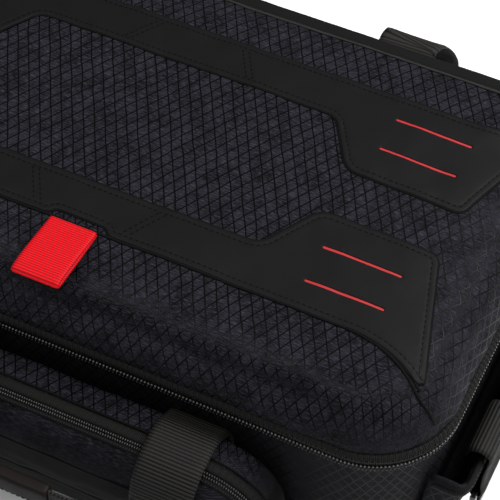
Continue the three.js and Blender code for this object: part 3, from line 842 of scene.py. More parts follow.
# Rings inside a guard's outline and round its slots: how far in, and how high.
EDGE_RINGS = [(0.0, 0.5), (0.25, 0.9), (0.7, 1.1), (1.6, 1.15), (2.9, 1.12), (3.4, 1.0), (3.8, 1.0),
              (4.3, 1.12), (6.0, 1.15)]
LIP_RINGS = [(0.0, 0.85), (0.4, 1.08), (1.0, 1.15), (2.0, 1.15)]


def make_guard(name, side):
    """A leatherette guard: rolled edge, sunk seam, slots, closed underneath."""
    outline = guard_outline(side, 1.6)
    rings = [(offset_path(outline, d), h) for d, h in EDGE_RINGS]
    ends = ((-SLIT_TO, -SLIT_FROM), (SLIT_FROM, SLIT_TO))
    slots = [slit_outline(*pair, side * row, SLIT_HALF, 0.7) for pair in ends for row in SLIT_ROWS]
    for slot in slots:
        rings += [(offset_path(slot, -d), h) for d, h in LIP_RINGS]
    inner = offset_path(outline, 7.6)
    low, high = outline.min(0), outline.max(0)
    xs, ys = np.meshgrid(np.arange(low[0], high[0], 4.0), np.arange(low[1], high[1], 4.0))
    fill = np.stack([xs.ravel(), ys.ravel()], 1)
    fill = fill[inside(fill, inner)]
    for slot in slots:
        fill = fill[~inside(fill, offset_path(slot, -4.0))]
    points, heights, edges = [], [], []
    for path, height in rings:
        base = len(points)
        points += path.tolist()
        heights += [height] * len(path)
        edges += [(base + i, base + (i + 1) % len(path)) for i in range(len(path))]
    points += fill.tolist()
    heights += [GUARD_THICK] * len(fill)
    verts, _, faces, origin, _, _ = delaunay_2d_cdt([Vector(p) for p in points], edges, [], 0, 1e-5)
    heights = np.array([max([heights[k] for k in o], default=GUARD_THICK) for o in origin])
    flat = np.array([list(v) for v in verts])
    middle = np.array([flat[list(f)].mean(0) for f in faces])
    kept = inside(middle, outline)
    for slot in slots:
        kept &= ~inside(middle, slot)
    faces = [list(f) for f, k in zip(faces, kept) if k]
    base, normal = on_lid(flat)
    swell = ripple(base, 0.12, 20.0, 5)
    top = base + normal * (heights + swell)[:, None]
    under = base + normal * 0.05
    guard = closed_sheet(f"guard_{name}_pad", top, under, faces, LEATHER)
    put(guard, "lid", "leatherette", f"guard_{name}")
    make_guard_shadow_line(name, outline)
    make_guard_stitches(name, side, outline)


def stitches_on_lid(path, lift):
    places, normal = on_lid(path)
    return stitch_line("stitches", places + normal * lift, normal, THREAD, 3.6, 2.4, 0.6, 0.1)


def make_guard_shadow_line(name, outline):
    """A thin black band all round a guard: a painted shadow line along its edge."""
    loop = [(-0.9, 0.1), (-0.75, 0.5), (-0.1, 0.62), (0.3, 0.5), (0.3, 0.05), (-0.6, 0.02)]
    grid = []
    for inset, rise in loop:
        base, normal = on_lid(offset_path(outline, inset))
        grid.append(base + normal * rise)
    edge = closed_band(f"guard_{name}_edge", np.array(grid), True, EDGE_BLACK)
    put(edge, "lid", "leatherette")


def make_guard_stitches(name, side, outline):
    seam = offset_path(outline, 3.6)
    parts = [stitches_on_lid(np.vstack([seam, seam[:1]]), 0.95)]
    for hand in (-1, 1):
        for x_in, x_out in ((39.6, 26.1), (44.0, 30.5)):
            run = np.linspace((hand * x_in, side * 56.5), (hand * x_out, side * 79.0), 20)
            parts.append(stitches_on_lid(run, 1.2))
    put(merge(f"guard_{name}_stitches", parts), "lid", "leatherette")


def make_slit_backing(name, side, hand):
    x0, x1 = sorted((hand * (SLIT_FROM - 4.5), hand * (SLIT_TO + 4.5)))
    y0, y1 = sorted((side * (SLIT_ROWS[0] - 4.5), side * (SLIT_ROWS[1] + 4.5)))
    xs, ys = np.arange(x0, x1 + 0.1, 1.8), np.arange(y0, y1 + 0.1, 1.4)
    grid = np.stack(np.meshgrid(xs, ys), -1)
    base, normal = on_lid(grid.reshape(-1, 2))
    near = np.min([np.abs(base[:, 1] - side * row) for row in SLIT_ROWS], axis=0)
    rise = 0.25 + 0.4 * np.exp(-(near / 1.2) ** 2)
    top = base + normal * rise[:, None]
    under = base + normal * 0.03
    faces = grid_faces(*grid.shape[:2], False).tolist()
    where = f"{name}_{'left' if hand < 0 else 'right'}"
    backing = closed_sheet(f"slit_red_{where}", top, under, faces, RED_CLOTH)
    put(backing, "lid", "webbing_red", f"slit_backing_{where}")


for guard_name, guard_side in (("front", -1), ("rear", 1)):
    make_guard(guard_name, guard_side)
    for guard_hand in (-1, 1):
        make_slit_backing(guard_name, guard_side, guard_hand)


def tube(name, path, up, radius, material, sides=8, flat=1.0):
    """A round cord along a path."""
    _, side, up = frames_on(path, up)
    angles = np.linspace(0, 2 * math.pi, sides + 1)[:-1]
    grid = np.array([path + side * radius * math.cos(a) + up * radius * flat * math.sin(a) for a in angles])
    return closed_band(name, grid, False, material, strip_uv(arc_of(path), angles * radius))


def make_lid_seams():
    """The black bound seam along the front guard, which turns down to the zipper at each end."""
    half = [(0, -83.8), (150, -83.8), (169, -84.0), (183, -85.8), (196, -89.8), (208, -96.0),
            (219, -103.8), (226, -105.0), (230.5, -104.6)]
    line = [(-x, y) for x, y in half[:0:-1]] + half
    base, normal = on_lid(smooth_line(line, 3.0))
    put(tube("lid_front_piping", base + normal * 0.35, normal, 0.85, EDGE_BLACK, 8, 0.7), "lid", "zip_tape")
    rear = [(-205, 106), (-196, 113.5), (-180, 115.5), (180, 115.5), (196, 113.5), (205, 106)]
    base, normal = on_lid(smooth_line(rear, 3.0))
    put(tube("lid_rear_piping", base + normal * 0.5, normal, 0.8, GREY_THREAD), "lid", "zip_tape")


make_lid_seams()


def make_pull_tab():
    (_, tip_y, z), (_, seam_y, _) = cad("pull_tab")
    line = [(seam_y - 4, z + 0.9), (seam_y - 16, z + 1.6), (seam_y - 30, z + 2.9), (tip_y + 6, z + 4.2),
            (tip_y + 1.0, z + 5.1), (tip_y + 0.3, z + 6.5), (tip_y + 3.2, z + 7.6),
            (tip_y + 13, z + 7.2), (seam_y - 22, z + 5.4), (seam_y - 11, z + 3.6), (seam_y - 4, z + 2.9)]
    stations = [(0, y, h, 1, 0, 0, 2 * TAB_HALF) for y, h in line]
    tab = webbing("red_pull_tab", stations, 1.5, RED_WEB, 1.6, 0.34, 21)
    put(tab, "tab", "webbing_red", "pull_tab")


make_pull_tab()


# ---- Zippers ----------------------------------------------------------------------------------------
def open_part(plan):
    """The stations that the zipper runs through, in order."""
    return np.flatnonzero(~rear_stations(plan))


def swept_band(name, plan, use, along, centre, section, material, rib, pitch):
    """A ribbed section swept along some stations of a plan; section is (inset, z)."""
    wave = rib * np.cos(2 * math.pi * along / pitch)
    grid = []
    for inset, z in section:
        push = np.array([centre[0] - inset, z - centre[1]])
        push = push / max(np.linalg.norm(push), 1e-9)
        points = plan.ring(inset)[use] + plan.normal[use] * (wave * push[0])[:, None]
        grid.append(np.column_stack([points, z + wave * push[1]]))
    uv = strip_uv(along, arc_of(np.array(section)))
    return closed_band(name, np.array(grid), False, material, uv)


def band_round(name, plan, section, material, rib=0.0, pitch=1.4):
    """A closed section swept round the zipper's course."""
    use = open_part(plan)
    centre = np.mean(section, axis=0)
    return swept_band(name, plan, use, plan.along[use], centre, section, material, rib, pitch)


def on_plan(plan, inset, z):
    """The zipper's course at an inset and a height, and its outward direction."""
    use = open_part(plan)
    course = np.column_stack([plan.ring(inset)[use], np.full(len(use), z)])
    return course, np.column_stack([plan.normal[use], np.zeros(len(use))])


def make_main_zipper():
    z = ZIP_Z
    upper = smooth_line([(2.9, z + 9.6), (1.2, z + 9.3), (0.0, z + 7.8), (-0.4, z + 5.9), (-0.1, z + 4.1),
                         (0.8, z + 3.0), (2.2, z + 2.8), (3.2, z + 4.2), (3.4, z + 6.6)], 0.9)
    tape = band_round("lid_zip_tape", FINE, upper, TAPE, 0.3, 1.6)
    put(tape, "lid", "zip_tape", "lid_zip_band")
    lower = smooth_line([(2.4, z - 0.9), (1.4, z - 1.0), (1.2, z - 2.4), (1.7, z - 4.6), (2.3, z - 5.6),
                         (3.1, z - 5.4), (3.2, z - 2.6)], 0.9)
    tape = band_round("body_zip_tape", FINE, lower, BLACK_TAPE, 0.06, 1.1)
    put(tape, "bag_body", "zip_tape", "body_zip_band")
    core = [(1.9, z - 1.4), (1.8, z + 0.4), (1.9, z + 2.7), (3.4, z + 2.7), (3.5, z + 0.4), (3.4, z - 1.4)]
    put(band_round("main_zip_core", PLAN, core, EDGE_BLACK), "bag_body", "zip_tape")
    course, out = on_plan(FINE, 1.2, z + 0.35)
    size, shape = (0.62, 0.62, 0.7), bead_shape(6, 10)
    put(bead_line("main_zip_teeth", course, out, 2.2, size, TEETH, 0.75, shape), "bag_body", "zip_tape")
    course, out = on_plan(FINE, 1.6, z - 4.3)
    thread = stitch_line("main_zip_stitches", course, out, DIM_TEETH, 2.2, 1.1, 1.3, 0.2)
    put(thread, "bag_body", "zip_tape")
    course, out = on_plan(FINE, -0.25, z + 6.3)
    put(stitch_line("lid_zip_stitches", course, out, THREAD, 2.9, 1.8, 0.6, 0.1), "lid", "zip_tape")


make_main_zipper()


# ---- Body -------------------------------------------------------------------------------------------
def wall_inset(z):
    """How far the wall's outer face lies inside the zipper's outline at height z."""
    return ZIP_PROUD + LEAN * np.maximum(ZIP_Z - z, 0.0)


def wall_half_x(z):
    return HALF_X - wall_inset(z)


def wall_half_y(z):
    return HALF_Y - wall_inset(z)


def wall_skin(plan, levels, inset=0.0):
    """The wall's face drawn in by inset, its outward direction, and its cloth coordinates."""
    grid = plan_grid(plan, [(wall_inset(z) + inset, z) for z in levels])
    out = np.column_stack([plan.normal, np.zeros(plan.count)])
    return grid, out, strip_uv(plan.along, levels)


WALL_ROWS = 52


def make_wall():
    below = np.linspace(FLOOR_Z, ZIP_Z - 0.4, WALL_ROWS)
    levels = np.concatenate([below, np.linspace(ZIP_Z + 2, REAR_Z, 11)])
    grid, out, uv = wall_skin(PLAN, levels)
    height = np.clip((levels - FLOOR_Z) / (ZIP_Z - FLOOR_Z), 0, 1)
    belly = 0.9 * np.clip(np.sin(height * math.pi), 0, 1)[:, None]
    swell = belly + ripple(grid, 0.5, 40.0, 7) * (belly > 0.1)
    grid = grid + out * np.minimum(swell, 1.2)[..., None]
    keep = np.ones((len(levels) - 1, PLAN.count), bool)
    keep[WALL_ROWS - 1:, ~rear_stations(PLAN)] = False
    wall = make("body_cloth", grid, grid_faces(len(levels), PLAN.count, True, keep), WALL_CLOTH, uv)
    weld(wall, 0.01)
    thicken(wall, WALL)
    put(wall, "bag_body", "shell_fabric", "body_wall")


make_wall()


def rear_run(plan, angle):
    """The stations round the rear that face back by more than angle, in order."""
    use = np.flatnonzero(plan.normal[:, 1] > math.sin(math.radians(angle)))
    split = np.flatnonzero(np.diff(use) > 1)
    return np.roll(use, -(split[0] + 1)) if len(split) else use


def make_rear_binding():
    step = 0.5
    plan = bag_plan(step)
    use = rear_run(plan, REAR_ANGLE + 5)
    z = REAR_Z
    section = smooth_line([(1.8, z - 5.5), (0.9, z - 5), (0.6, z - 1), (1.6, z + 1.8), (4.2, z + 2.9),
                           (9, z + 3), (12.4, z + 1.9), (13.6, z - 1.5), (14.4, z - 5), (13.4, z - 5.4),
                           (12, z + 0.4), (3, z + 0.4)], 1.2)
    binding = swept_band("rear_wall_binding", plan, use, np.arange(len(use)) * step, (7.5, z - 1.0),
                         section, BLACK_TAPE, 0.14, 1.5)
    put(binding, "bag_body", "webbing_black", "rear_binding")


def make_hinge_cloth():
    """The cloth between the raised rear wall and the lid, fixed in its rest shape."""
    z = REAR_Z
    section = smooth_line([(22, z + 11.0), (19.6, z + 10.8), (17.2, z + 9), (14.8, z + 6.2),
                           (11.5, z + 4.2), (7.5, z + 4.0), (4, z + 4.2)], 0.8)
    use = rear_run(PLAN, 36)
    grid = plan_grid(PLAN, section)[:, use]
    grid = grid + normals_of(grid) * ripple(grid, 0.35, 18.0, 9)[..., None]
    uv = strip_uv(arc_of(grid[-1]), arc_of(section))
    faces = grid_faces(len(section), len(use), False)
    strip = thicken(make("hinge_cloth", grid, faces, BLACK_TAPE, uv), 1.0)
    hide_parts("hinge_strip")
    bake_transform(strip)


make_rear_binding()
make_hinge_cloth()


def slab(name, half, z0, z1, radii, material, edge, bulge=0.0):
    """A pad with rolled edges seen from above: half is its half-size, bulge its crown."""
    plan = Plan(half, radii, 4.0)
    reach = min(half) - 0.001
    quarter = np.linspace(0, math.pi / 2, 5)
    bottom = [(reach, z0), (reach * 0.5, z0)]
    bottom += [(edge * (1 - math.sin(a)), z0 + edge * (1 - math.cos(a))) for a in quarter]
    top = [(edge * (1 - math.cos(a)), z1 - edge * (1 - math.sin(a))) for a in quarter]
    crown = [(i, z1 + bulge * math.sin(min((i - edge) / 30, 1) * math.pi / 2))
             for i in np.linspace(edge + 4, reach, 9)]
    profile = bottom + top + crown
    uv = np.array([plan.ring(i) for i, _ in profile])
    faces = grid_faces(len(profile), plan.count, True)
    return weld(make(name, plan_grid(plan, profile), faces, material, uv), 0.01)


def make_base():
    low, high = cad("base_panel")
    half = (high[0] - 0.2, high[1] - 0.2)
    board = slab("base_board_cover", half, low[2], high[2] - 0.2, (33,) * 4, BOARD, 2.5)
    put(board, "bag_body", "base_board", "base_panel")
    low, high = cad("base_pad")
    half = (high[0] - 0.3, high[1] - 0.3)
    pad = slab("base_padding", half, low[2], high[2] - 0.5, (22,) * 4, LINING, 2.2, 0.6)
    put(pad, "bag_body", "lining_fabric", "base_pad")


def make_wall_lining():
    low, high = cad("inner_liner")
    plan = bag_plan(6.0)
    grid, out, uv = wall_skin(plan, np.linspace(low[2] + 0.2, high[2], 30), WALL + 0.5)
    grid = grid - out * (0.4 + np.abs(ripple(grid, 0.5, 30.0, 12)))[..., None]
    liner = make("wall_lining", grid, grid_faces(len(grid), plan.count, True), LINING, uv)
    thicken(liner, 1.2)
    put(liner, "bag_body", "lining_fabric", "inner_liner")


make_base()
make_wall_lining()


def make_lid_lining():
    z = ZIP_Z
    profile = smooth_line([(9.2, z + 2.2), (9.6, z + 10), (11.2, z + 20), (14, z + 25.2), (21, z + 26.6),
                           (60, z + 27.0), (110, z + 27.2), (TO_MIDDLE, z + 27.2)], 5.0)
    plan = bag_plan(6.0)
    grid = plan_grid(plan, profile)
    grid[..., 2] += ripple(grid, 0.6, 45.0, 14)
    keep = np.ones((len(profile) - 1, plan.count), bool)
    keep[np.ix_(profile[:-1, 0] < 25, rear_stations(plan))] = False
    faces = grid_faces(len(profile), plan.count, True, keep)
    lining = make("lid_lining_felt", grid, faces, LINING, radial_uv(plan, profile))
    weld(lining, 0.02)
    thicken(lining, 1.4)
    put(lining, "lid", "lining_fabric", "lid_lining")


make_lid_lining()


def make_dividers():
    upright = Matrix(((0, 0, 1), (1, 0, 0), (0, 1, 0))).to_4x4()
    centre = Vector(OFFSET.tolist()) * MM
    for name, body in (("divider_left", "left_divider"), ("divider_right", "right_divider")):
        low, high = cad(name)
        middle, half = (low + high) / 2, (high - low) / 2
        pad = slab(f"{name}_pad", (half[1] - 0.4, half[2] - 0.4), -half[0] + 0.3, half[0] - 0.9,
                   (10, 4, 4, 10), LINING, 2.6, 0.8)
        shift = Matrix.Translation(Vector(((middle + OFFSET) * MM).tolist()))
        pad.data.transform(shift @ upright @ Matrix.Translation(-centre))
        put(pad, body, "lining_fabric", name)


make_dividers()


# ---- Pouches: front pocket and side pockets ---------------------------------------------------------
class Pouch:
    """A pouch on a wall: a rounded rectangle seen face on, whose face comes forward from the wall."""

    def __init__(self, plan, centre_z, back, front, roll, place, lip=math.inf):
        self.plan, self.centre_z, self.back, self.front = plan, centre_z, back, front
        self.roll, self.place, self.lip = roll, place, lip

    def row(self, a, use=None):
        """Points at distance a over the shoulder; below zero runs back to the wall."""
        use = np.arange(self.plan.count) if use is None else use
        quarter = self.roll * math.pi / 2
        if a <= -self.lip:
            inset, back_off = -a - self.lip, self.roll + self.lip + 0.2 * (-a - self.lip)
        elif a <= 0:
            inset, back_off = 0.0, self.roll - a
        elif a < quarter:
            inset = self.roll * (1 - math.cos(a / self.roll))
            back_off = self.roll * (1 - math.sin(a / self.roll))
        else:
            inset, back_off = self.roll + a - quarter, 0.0
        flat = self.plan.ring(min(inset, self.plan.half.min() - 0.001))[use]
        z = flat[:, 1] + self.centre_z
        return flat[:, 0], z, self.front(z) - back_off

    def grid(self, rows, use=None):
        made = []
        for a in rows:
            u, z, out = self.row(a, use)
            made.append(self.place(u, np.maximum(out, self.back(z)), z))
        return np.array(made)


SUNK = 1.0  # how far a pouch's back edge sinks into the wall
# Height and distance out of the front pocket's face.
POCKET_FRONT = np.array([(22, 154), (30, 160), (50, 167.6), (70, 174), (90, 179), (104, 182),
                         (122, 183.4), (146, 183.6)])


def pocket_front(z):
    return np.interp(z, POCKET_FRONT[:, 0], POCKET_FRONT[:, 1])


def pocket_back(z):
    return wall_half_y(z) - SUNK


def on_front(u, out, z):
    return np.stack([u, -out, z], 1)


CLOTH_FROM = 8  # below this distance a pouch's cloth coordinates run straight off its face


def pouch_uv(pouch, rows):
    uv = []
    for a in rows:
        u, z, _ = pouch.row(max(a, CLOTH_FROM))
        uv.append(np.stack([u, z], 1) + pouch.plan.normal * max(CLOTH_FROM - a, 0))
    return np.array(uv)


def make_pouch(name, pouch, rows, material, wobble, cap, keep=None):
    """Cloth over a pouch, from the wall over its shoulder to the middle of its face."""
    grid = pouch.grid(rows)
    normal = normals_of(grid)
    facing = np.sign((normal[-3] * (grid[-3] - grid[0])).sum())
    fade = np.clip(np.array(rows) - rows[0], 0, 8)[:, None] / 8
    wave = (ripple(grid, wobble, 28.0, 21) + ripple(grid, wobble * 0.4, 9.0, 22)) * fade
    grid = grid + normal * facing * wave[..., None]
    faces = grid_faces(len(rows), pouch.plan.count, True, keep)
    obj = make(name, grid, faces, material, pouch_uv(pouch, rows))
    held = np.zeros(grid.shape[:2], bool)
    held[:2] = True
    held[[i for i, a in enumerate(rows) if abs(a + 3) < 2 or abs(a - 13) < 1.5]] = True
    inflate(obj, held.ravel(), 2.5, cap)
    return weld(obj, 0.02)


pocket_low, pocket_high = cad("front_pocket")
POCKET_HALF_Z = (pocket_high[2] + 1 - pocket_low[2]) / 2
POCKET_ROLL = 22.0
POCKET_LIP = 19.0  # the straight part of its shoulder behind the roll
POCKET_SEAM = 34.8  # the lower seam's distance over the shoulder
BAG_INSIDE = np.array([0, -120, 60])


def front_pouch(step, corner_step=None):
    plan = Plan((pocket_high[0], POCKET_HALF_Z), (40, 8, 8, 40), step, corner_step)
    return Pouch(plan, pocket_low[2] + POCKET_HALF_Z, pocket_back, pocket_front, POCKET_ROLL, on_front,
                 POCKET_LIP)


pocket = front_pouch(3.2, 2.0)
pocket_fine = front_pouch(0.36)


def arch(plan, low):
    """Stations of the pouch's two upper corners, its top and its sides down to low, in order."""
    rim = plan.ring(0.0)
    order = np.roll(np.arange(plan.count), -np.flatnonzero(plan.corner == 2)[0])
    return np.array([i for i in order if rim[i, 1] > low and plan.corner[i] != 1])


def outward(grid):
    """Unit normals of a grid on the front pocket, turned away from the bag."""
    normal = normals_of(grid)
    return normal * np.sign((normal * (grid - BAG_INSIDE)).sum())


def pocket_band(name, use, a0, a1, lift, material, rib=0.0, pitch=1.4, nodes=()):
    """A tape along the front pocket's shoulder, its middle standing lift proud."""
    rows = 8
    steps = np.linspace(a0, a1, rows)
    grid = pocket_fine.grid(steps, use)
    normal = outward(grid)
    along = arc_of(grid[rows // 2])
    wave = rib * np.cos(2 * math.pi * along / pitch)
    crown = np.sqrt(np.clip(1 - np.linspace(-1, 1, rows) ** 2, 0, 1))
    top = grid + normal * (0.5 + lift * crown[:, None] + wave[None])[..., None]
    under = grid + normal * -0.8
    loop = np.concatenate([top, under[::-1]])
    uv = strip_uv(along, [*steps, *steps[::-1]])
    put(closed_band(name, loop, False, material, uv), "bag_body", "zip_tape", *nodes)


def pocket_path(use, a, lift):
    """The line at distance a over the front pocket's shoulder, and its outward direction."""
    grid = pocket_fine.grid([a - 0.5, a, a + 0.5], use)
    normal = outward(grid)[1]
    return grid[1] + normal * lift, normal


def make_pocket_cloth():
    rows = [-50, -43, -36, -30, -25, -21.5, -19.6, -18.6, -16.5, -13, -10, -7.5, -5, -3, -1,
            *np.arange(1, 36, 1.7), *np.arange(37.5, 72, 3.2), 73.5]
    cloth = make_pouch("pocket_cloth", pocket, rows, CLOTH, 0.8, 2.0)
    thicken(cloth, 2.2)
    cloth.data.materials.append(PLAIN_CLOTH)
    cloth.data.materials.append(DARK_CLOTH)
    seam_z = pocket.row(POCKET_SEAM)[1].max()
    for face in cloth.data.polygons:
        spot = face.center / MM
        # Faces below the lower seam take the painted shade copy of the cloth.
        if spot.z < seam_z:
            face.material_index = 2
        elif spot.y - OFFSET[1] < -165.0 or spot.z < pocket_high[2] - 9:
            face.material_index = 1
    put(cloth, "bag_body", "shell_fabric", "front_pocket")


def make_pocket_zipper():
    use = arch(pocket_fine.plan, -25.0)
    pocket_band("pocket_upper_tape", use, -2.6, 4.4, 1.1, POCKET_TAPE, 0.12, 1.5, ("pocket_zip",))
    pocket_band("pocket_lower_tape", use, 8.2, 11.2, 0.4, BLACK_TAPE, 0.06, 1.1)
    pocket_band("pocket_seam", use, -4.4, -3.0, 0.7, EDGE_BLACK)
    size, shape = (0.6, 1.0, 0.85), bead_shape(6, 8)
    for name, a in (("upper", 5.4), ("lower", 7.4)):
        path, normal = pocket_path(use, a, 0.6)
        teeth = bead_line(f"pocket_teeth_{name}", path, normal, 1.55, size, DIM_TEETH, 0.2, shape, 0.25)
        put(teeth, "bag_body", "zip_tape")
    path, normal = pocket_path(use, 9.8, 1.05)
    thread = stitch_line("pocket_stitches", path, normal, GREY_THREAD, 1.9, 1.1, 0.7, 0.1)
    put(thread, "bag_body", "zip_tape")
    use = arch(pocket_fine.plan, -45.0)
    pocket_band("pocket_lower_seam", use, POCKET_SEAM - 0.8, POCKET_SEAM + 0.8, 0.5, EDGE_BLACK)


make_pocket_cloth()
make_pocket_zipper()

(_, _, SIDE_LOW), (_, SIDE_HALF_Y, SIDE_TOP) = cad("side_pocket_right")
SIDE_ROLL = 9.0


def side_face(z):
    """The side pocket's outer face at height z."""
    low = wall_half_x(SIDE_LOW) + 12
    return low + (wall_half_x(SIDE_TOP) + 22 - low) * (z - SIDE_LOW) / (SIDE_TOP - SIDE_LOW)


def side_back(z):
    return wall_half_x(z) - SUNK


def on_right(u, out, z):
    return np.stack([out, u, z], 1)


def on_left(u, out, z):
    return np.stack([-out, u, z], 1)


def make_side_pocket(hand, where):
    half_z = (SIDE_TOP - SIDE_LOW) / 2
    plan = Plan((SIDE_HALF_Y, half_z), (3.5, 16, 16, 3.5), 3.2, 1.2)
    place = on_right if hand > 0 else on_left
    pouch = Pouch(plan, SIDE_LOW + half_z, side_back, side_face, SIDE_ROLL, place)
    rows = [-20, -14, -9, -5, -2, *np.arange(0, 15, 1.5), *np.arange(16, 54, 3.4), 54.2]
    mouth = (plan.corner == 3) & (plan.run >= 0)
    keep = np.ones((len(rows) - 1, plan.count), bool)
    over = np.array(rows)[:-1] < SIDE_ROLL * math.pi / 2 - 1
    keep[np.ix_(over, mouth)] = False
    cloth = make_pouch(f"side_pocket_cloth_{where}", pouch, rows, WALL_CLOTH, 0.6, 1.5, keep)
    thicken(cloth, 2.6)
    put(cloth, "bag_body", "shell_fabric", f"side_pocket_{where}")


def make_side_mouth(hand, where):
    """The bound mouth of a side pocket, with its two rows of stitches."""
    z = SIDE_TOP - SIDE_ROLL
    x = side_face(z)
    half = [(wall_half_x(z) + 2.5, 1.0, 2.5), (x - 5, 1.5, 1.5), (x - 0.6, 8, 0.6), (x, 26, 0)]
    stations = [(hand * a, b - SIDE_HALF_Y, z + c) for a, b, c in half] + [(hand * x, 0, z)]
    stations += [(hand * a, SIDE_HALF_Y - b, z + c) for a, b, c in reversed(half)]
    path = smooth_line(stations, 1.0)
    binding = tube(f"side_pocket_binding_{where}", path, (0, 0, 1), 2.2, BLACK_TAPE, 10, 1.7)
    lines = [stitch_line("line", path + np.array([hand * 2.1, 0, dz]), (hand, 0, 0), GREY_THREAD,
                         2.6, 1.7, 0.5) for dz in (-1.2, 1.0)]
    put(binding, "bag_body", "zip_tape")
    put(merge(f"side_pocket_stitches_{where}", lines), "bag_body", "zip_tape")


def make_side_tab(hand, where):
    """The folded webbing tab that holds the ring, and the box of stitches across it."""
    ring_low, ring_high = cad(f"side_ring_{where}")
    ring_x = abs(ring_low[0] + ring_high[0]) / 2
    ring_z = ring_high[2] - 1.4
    tab_low, tab_high = cad(f"side_tab_{where}")
    y = (tab_low[1] + tab_high[1]) / 2
    top = tab_high[2]
    top_x = side_face(top)
    line = [(top_x + 1.4, top), (side_face(108) + 1.8, 108), (side_face(ring_z + 8) + 3.2, ring_z + 8),
            (ring_x - 3.6, ring_z + 0.5), (ring_x - 2.6, ring_z - 3.0), (ring_x, ring_z - 4.2),
            (ring_x + 2.6, ring_z - 3.0), (ring_x + 3.6, ring_z + 0.5), (ring_x + 2.6, ring_z + 8),
            (side_face(108) + 5.6, 108), (top_x + 4.2, top - 1)]
    if hand > 0:
        line += [(top_x + 2.6, top + 3.4), (top_x - 2.5, top + 5.4), (top_x - 8, top + 3.5),
                 (top_x - 10.5, top - 3)]
    stations = [(hand * x, y, z, 0, 1, 0, WEBBING) for x, z in line]
    tab = webbing(f"side_tab_web_{where}", stations, 1.9, BLACK_WEB, RIB, 0.35, 13)
    put(tab, "bag_body", "webbing_black", f"side_tab_{where}")
    low, high = ring_z + 14, top - 4
    corners = [(-16, low), (16, low), (16, high), (-16, high), (-16, low), (16, high)]
    box = [(hand * (side_face(z) + 5.9 - (z > 105) * 0.5), y + dy, z) for dy, z in corners]
    path = smooth_line(box, 1.0, range(len(box)))
    thread = stitch_line(f"side_tab_stitches_{where}", path, (hand, 0, 0), THREAD, 2.6, 1.8, 0.6, 0.35)
    put(thread, "bag_body", "webbing_black")
    strap = [(side_face(80) + 2, 80), (side_face(60) + 2, 60), (side_face(44) + 3, 44),
             (wall_half_x(24) + 6, 24), (wall_half_x(10) + 2.4, 9.5)]
    stations = [(hand * x, y, z, 0, 1, 0, 10) for x, z in strap]
    web = webbing(f"side_strap_web_{where}", stations, 1.4, GREY_WEB, 1.3, 0.12, 7)
    put(web, "bag_body", "webbing_black", f"side_strap_{where}")


for side_hand, side_name in ((1, "right"), (-1, "left")):
    make_side_pocket(side_hand, side_name)
    make_side_mouth(side_hand, side_name)
    make_side_tab(side_hand, side_name)


# ---- Carry handles ----------------------------------------------------------------------------------
# Each handle's right half at rest: sideways, out from the fold, up, the width's direction and the width.
STRAND_X = 102
LOOP = {
    "front": [(STRAND_X, 2, -0.2, 1, 0, 38), (STRAND_X, 9, -3, 1, 0, 38), (STRAND_X, 17, -10, 1, 0, 38),
              (STRAND_X, 22.5, -20, 1, 0, 38), (STRAND_X, 25, -30, 1, 0, 38), (97, 27, -38, 0.95, -0.3, 34),
              (89, 31, -44, 0.8, -0.6, 28), (77, 36, -42, 0.4, -0.9, 24), (64, 41, -29, 0.35, -0.93, 17),
              (50, 45, -21, 0, -1, 14), (0, 45, -21, 0, -1, 14)],
    "rear": [(107, 1.1, -0.2, 1, 0, 38), (108, 5, -0.6, 1, 0, 38), (109, 9, -3, 1, 0, 38),
             (111, 14, -9, 1, 0, 38), (114, 18.5, -18, 1, 0, 38), (115, 22.5, -30, 1, 0, 38),
             (112, 25.5, -44, 1, -0.1, 37), (104, 27, -57, 0.97, -0.25, 35), (94, 27, -67, 0.85, -0.5, 31),
             (81, 26.7, -74, 0.6, -0.8, 27), (67, 26.7, -77, 0.4, -0.92, 24), (50, 26.7, -78, 0, -1, 20),
             (0, 26.7, -78, 0, -1, 20)],
}


def handle_fold(name):
    """Where a handle folds, out and up, at its joint's line."""
    joint = next(j for j in frame["joints"] if j["name"] == f"{name}_handle_swing")
    return joint["pos_m"][1] / MM - OFFSET[1], joint["pos_m"][2] / MM


def make_handle(name, out, anchor):
    """Two half webs, each sewn to the wall at one end, which meet under the grip."""
    fold_y, fold_z = handle_fold(name)
    right = [(LOOP[name][0][0], y, z, 1, 0, 0, WEBBING) for y, z in anchor]
    right += [(x, fold_y + out * u, fold_z + v, wx, 0, wz, w) for x, u, v, wx, wz, w in LOOP[name]]
    left = [(-x, y, z, wx, wy, -wz, w) for x, y, z, wx, wy, wz, w in right]
    body = f"{name}_handle"
    for hand, stations in (("right", right), ("left", left)):
        web = webbing(f"{name}_handle_web_{hand}", stations, 2.0, BLACK_WEB, RIB, 0.42, 13)
        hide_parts(f"{name}_anchor_{hand}", f"{name}_handle_strap")
        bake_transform(web)
    make_grip(name, body, *cad(f"{name}_grip"))


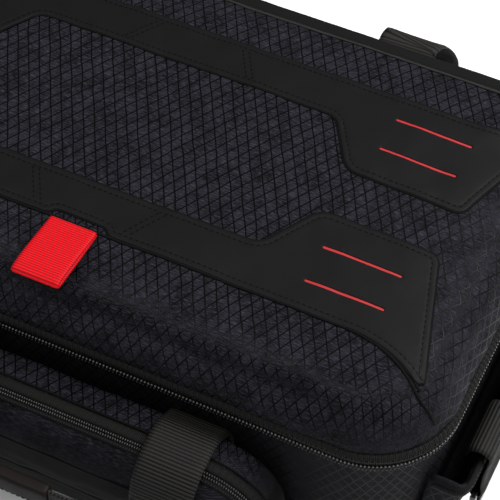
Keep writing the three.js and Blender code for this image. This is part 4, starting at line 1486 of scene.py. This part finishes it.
def make_grip(name, body, low, high):
    """A stitched leatherette sleeve round the webbing."""
    middle, half = (low + high) / 2, (high - low) / 2
    if name == "front":
        middle[2] += 4.0
        half[2] *= 0.66
    xs = np.concatenate([[-1, -0.995, -0.98], np.linspace(-0.94, 0.94, 42), [0.98, 0.995, 1]])
    size = np.interp(np.abs(xs), [0, 0.9, 0.98, 0.995, 1], [1, 0.99, 0.95, 0.86, 0.7])
    grid = []
    for t in np.linspace(0, 2 * math.pi, 41)[:-1]:
        c, s = math.cos(t), math.sin(t)
        out = math.copysign(abs(c) ** 0.6, c) * half[1] * size * (1 + 0.03 * np.sin(xs * 9 + t))
        rise = math.copysign(abs(s) ** 0.45, s) * half[2] * size
        grid.append(np.column_stack([middle[0] + xs * half[0], middle[1] + out, middle[2] + rise]))
    grip = closed_band(f"{name}_grip_sleeve", np.array(grid), False, GRIP_LEATHER)
    put(grip, body, "leatherette", f"{name}_grip")
    lines = []
    for sign in (-1, 1):
        path = np.zeros((60, 3))
        path[:, 0] = np.linspace(low[0] + 3, high[0] - 3, 60)
        path[:, 1:] = middle[1] + sign * half[1] * 0.92, middle[2] - half[2] * 0.7
        lines.append(stitch_line("line", path, (0, sign, 0), THREAD, 3.4, 2.3, 0.6, 0.2))
    put(merge(f"{name}_grip_stitches", lines), body, "leatherette")


OFF_WALL = 1.5
make_handle("front", -1, [(-wall_half_y(106) - OFF_WALL, 106), (-wall_half_y(139) - OFF_WALL, 136),
                          (-141, 143.5), (-147.5, 148.6), (-154, 150.2), (-162, 149.6)])
make_handle("rear", 1, [(wall_half_y(100) + OFF_WALL, 100), (wall_half_y(150) + OFF_WALL, 150), (140, 161),
                        (142.2, 168.5), (145.4, 173.2), (149, 175.3)])


# ---- Carried-over parts -----------------------------------------------------------------------------
def dress(starts, material, bevel_width):
    """Material and rounded edges for the CAD parts whose names start so."""
    for name, obj in frame["nodes"].items():
        if not name.startswith(starts):
            continue
        obj.data.materials.clear()
        obj.data.materials.append(material)
        bevel = obj.modifiers.new("Bevel", "BEVEL")
        bevel.width = bevel_width * MM
        bevel.segments = 3
        bevel.limit_method = "ANGLE"
        bevel.angle_limit = math.radians(25)


dress(("main_slider_", "main_puller_", "pocket_slider", "pocket_puller", "side_ring_"), METAL, 0.5)
dress(("foot_",), RUBBER, 0.8)
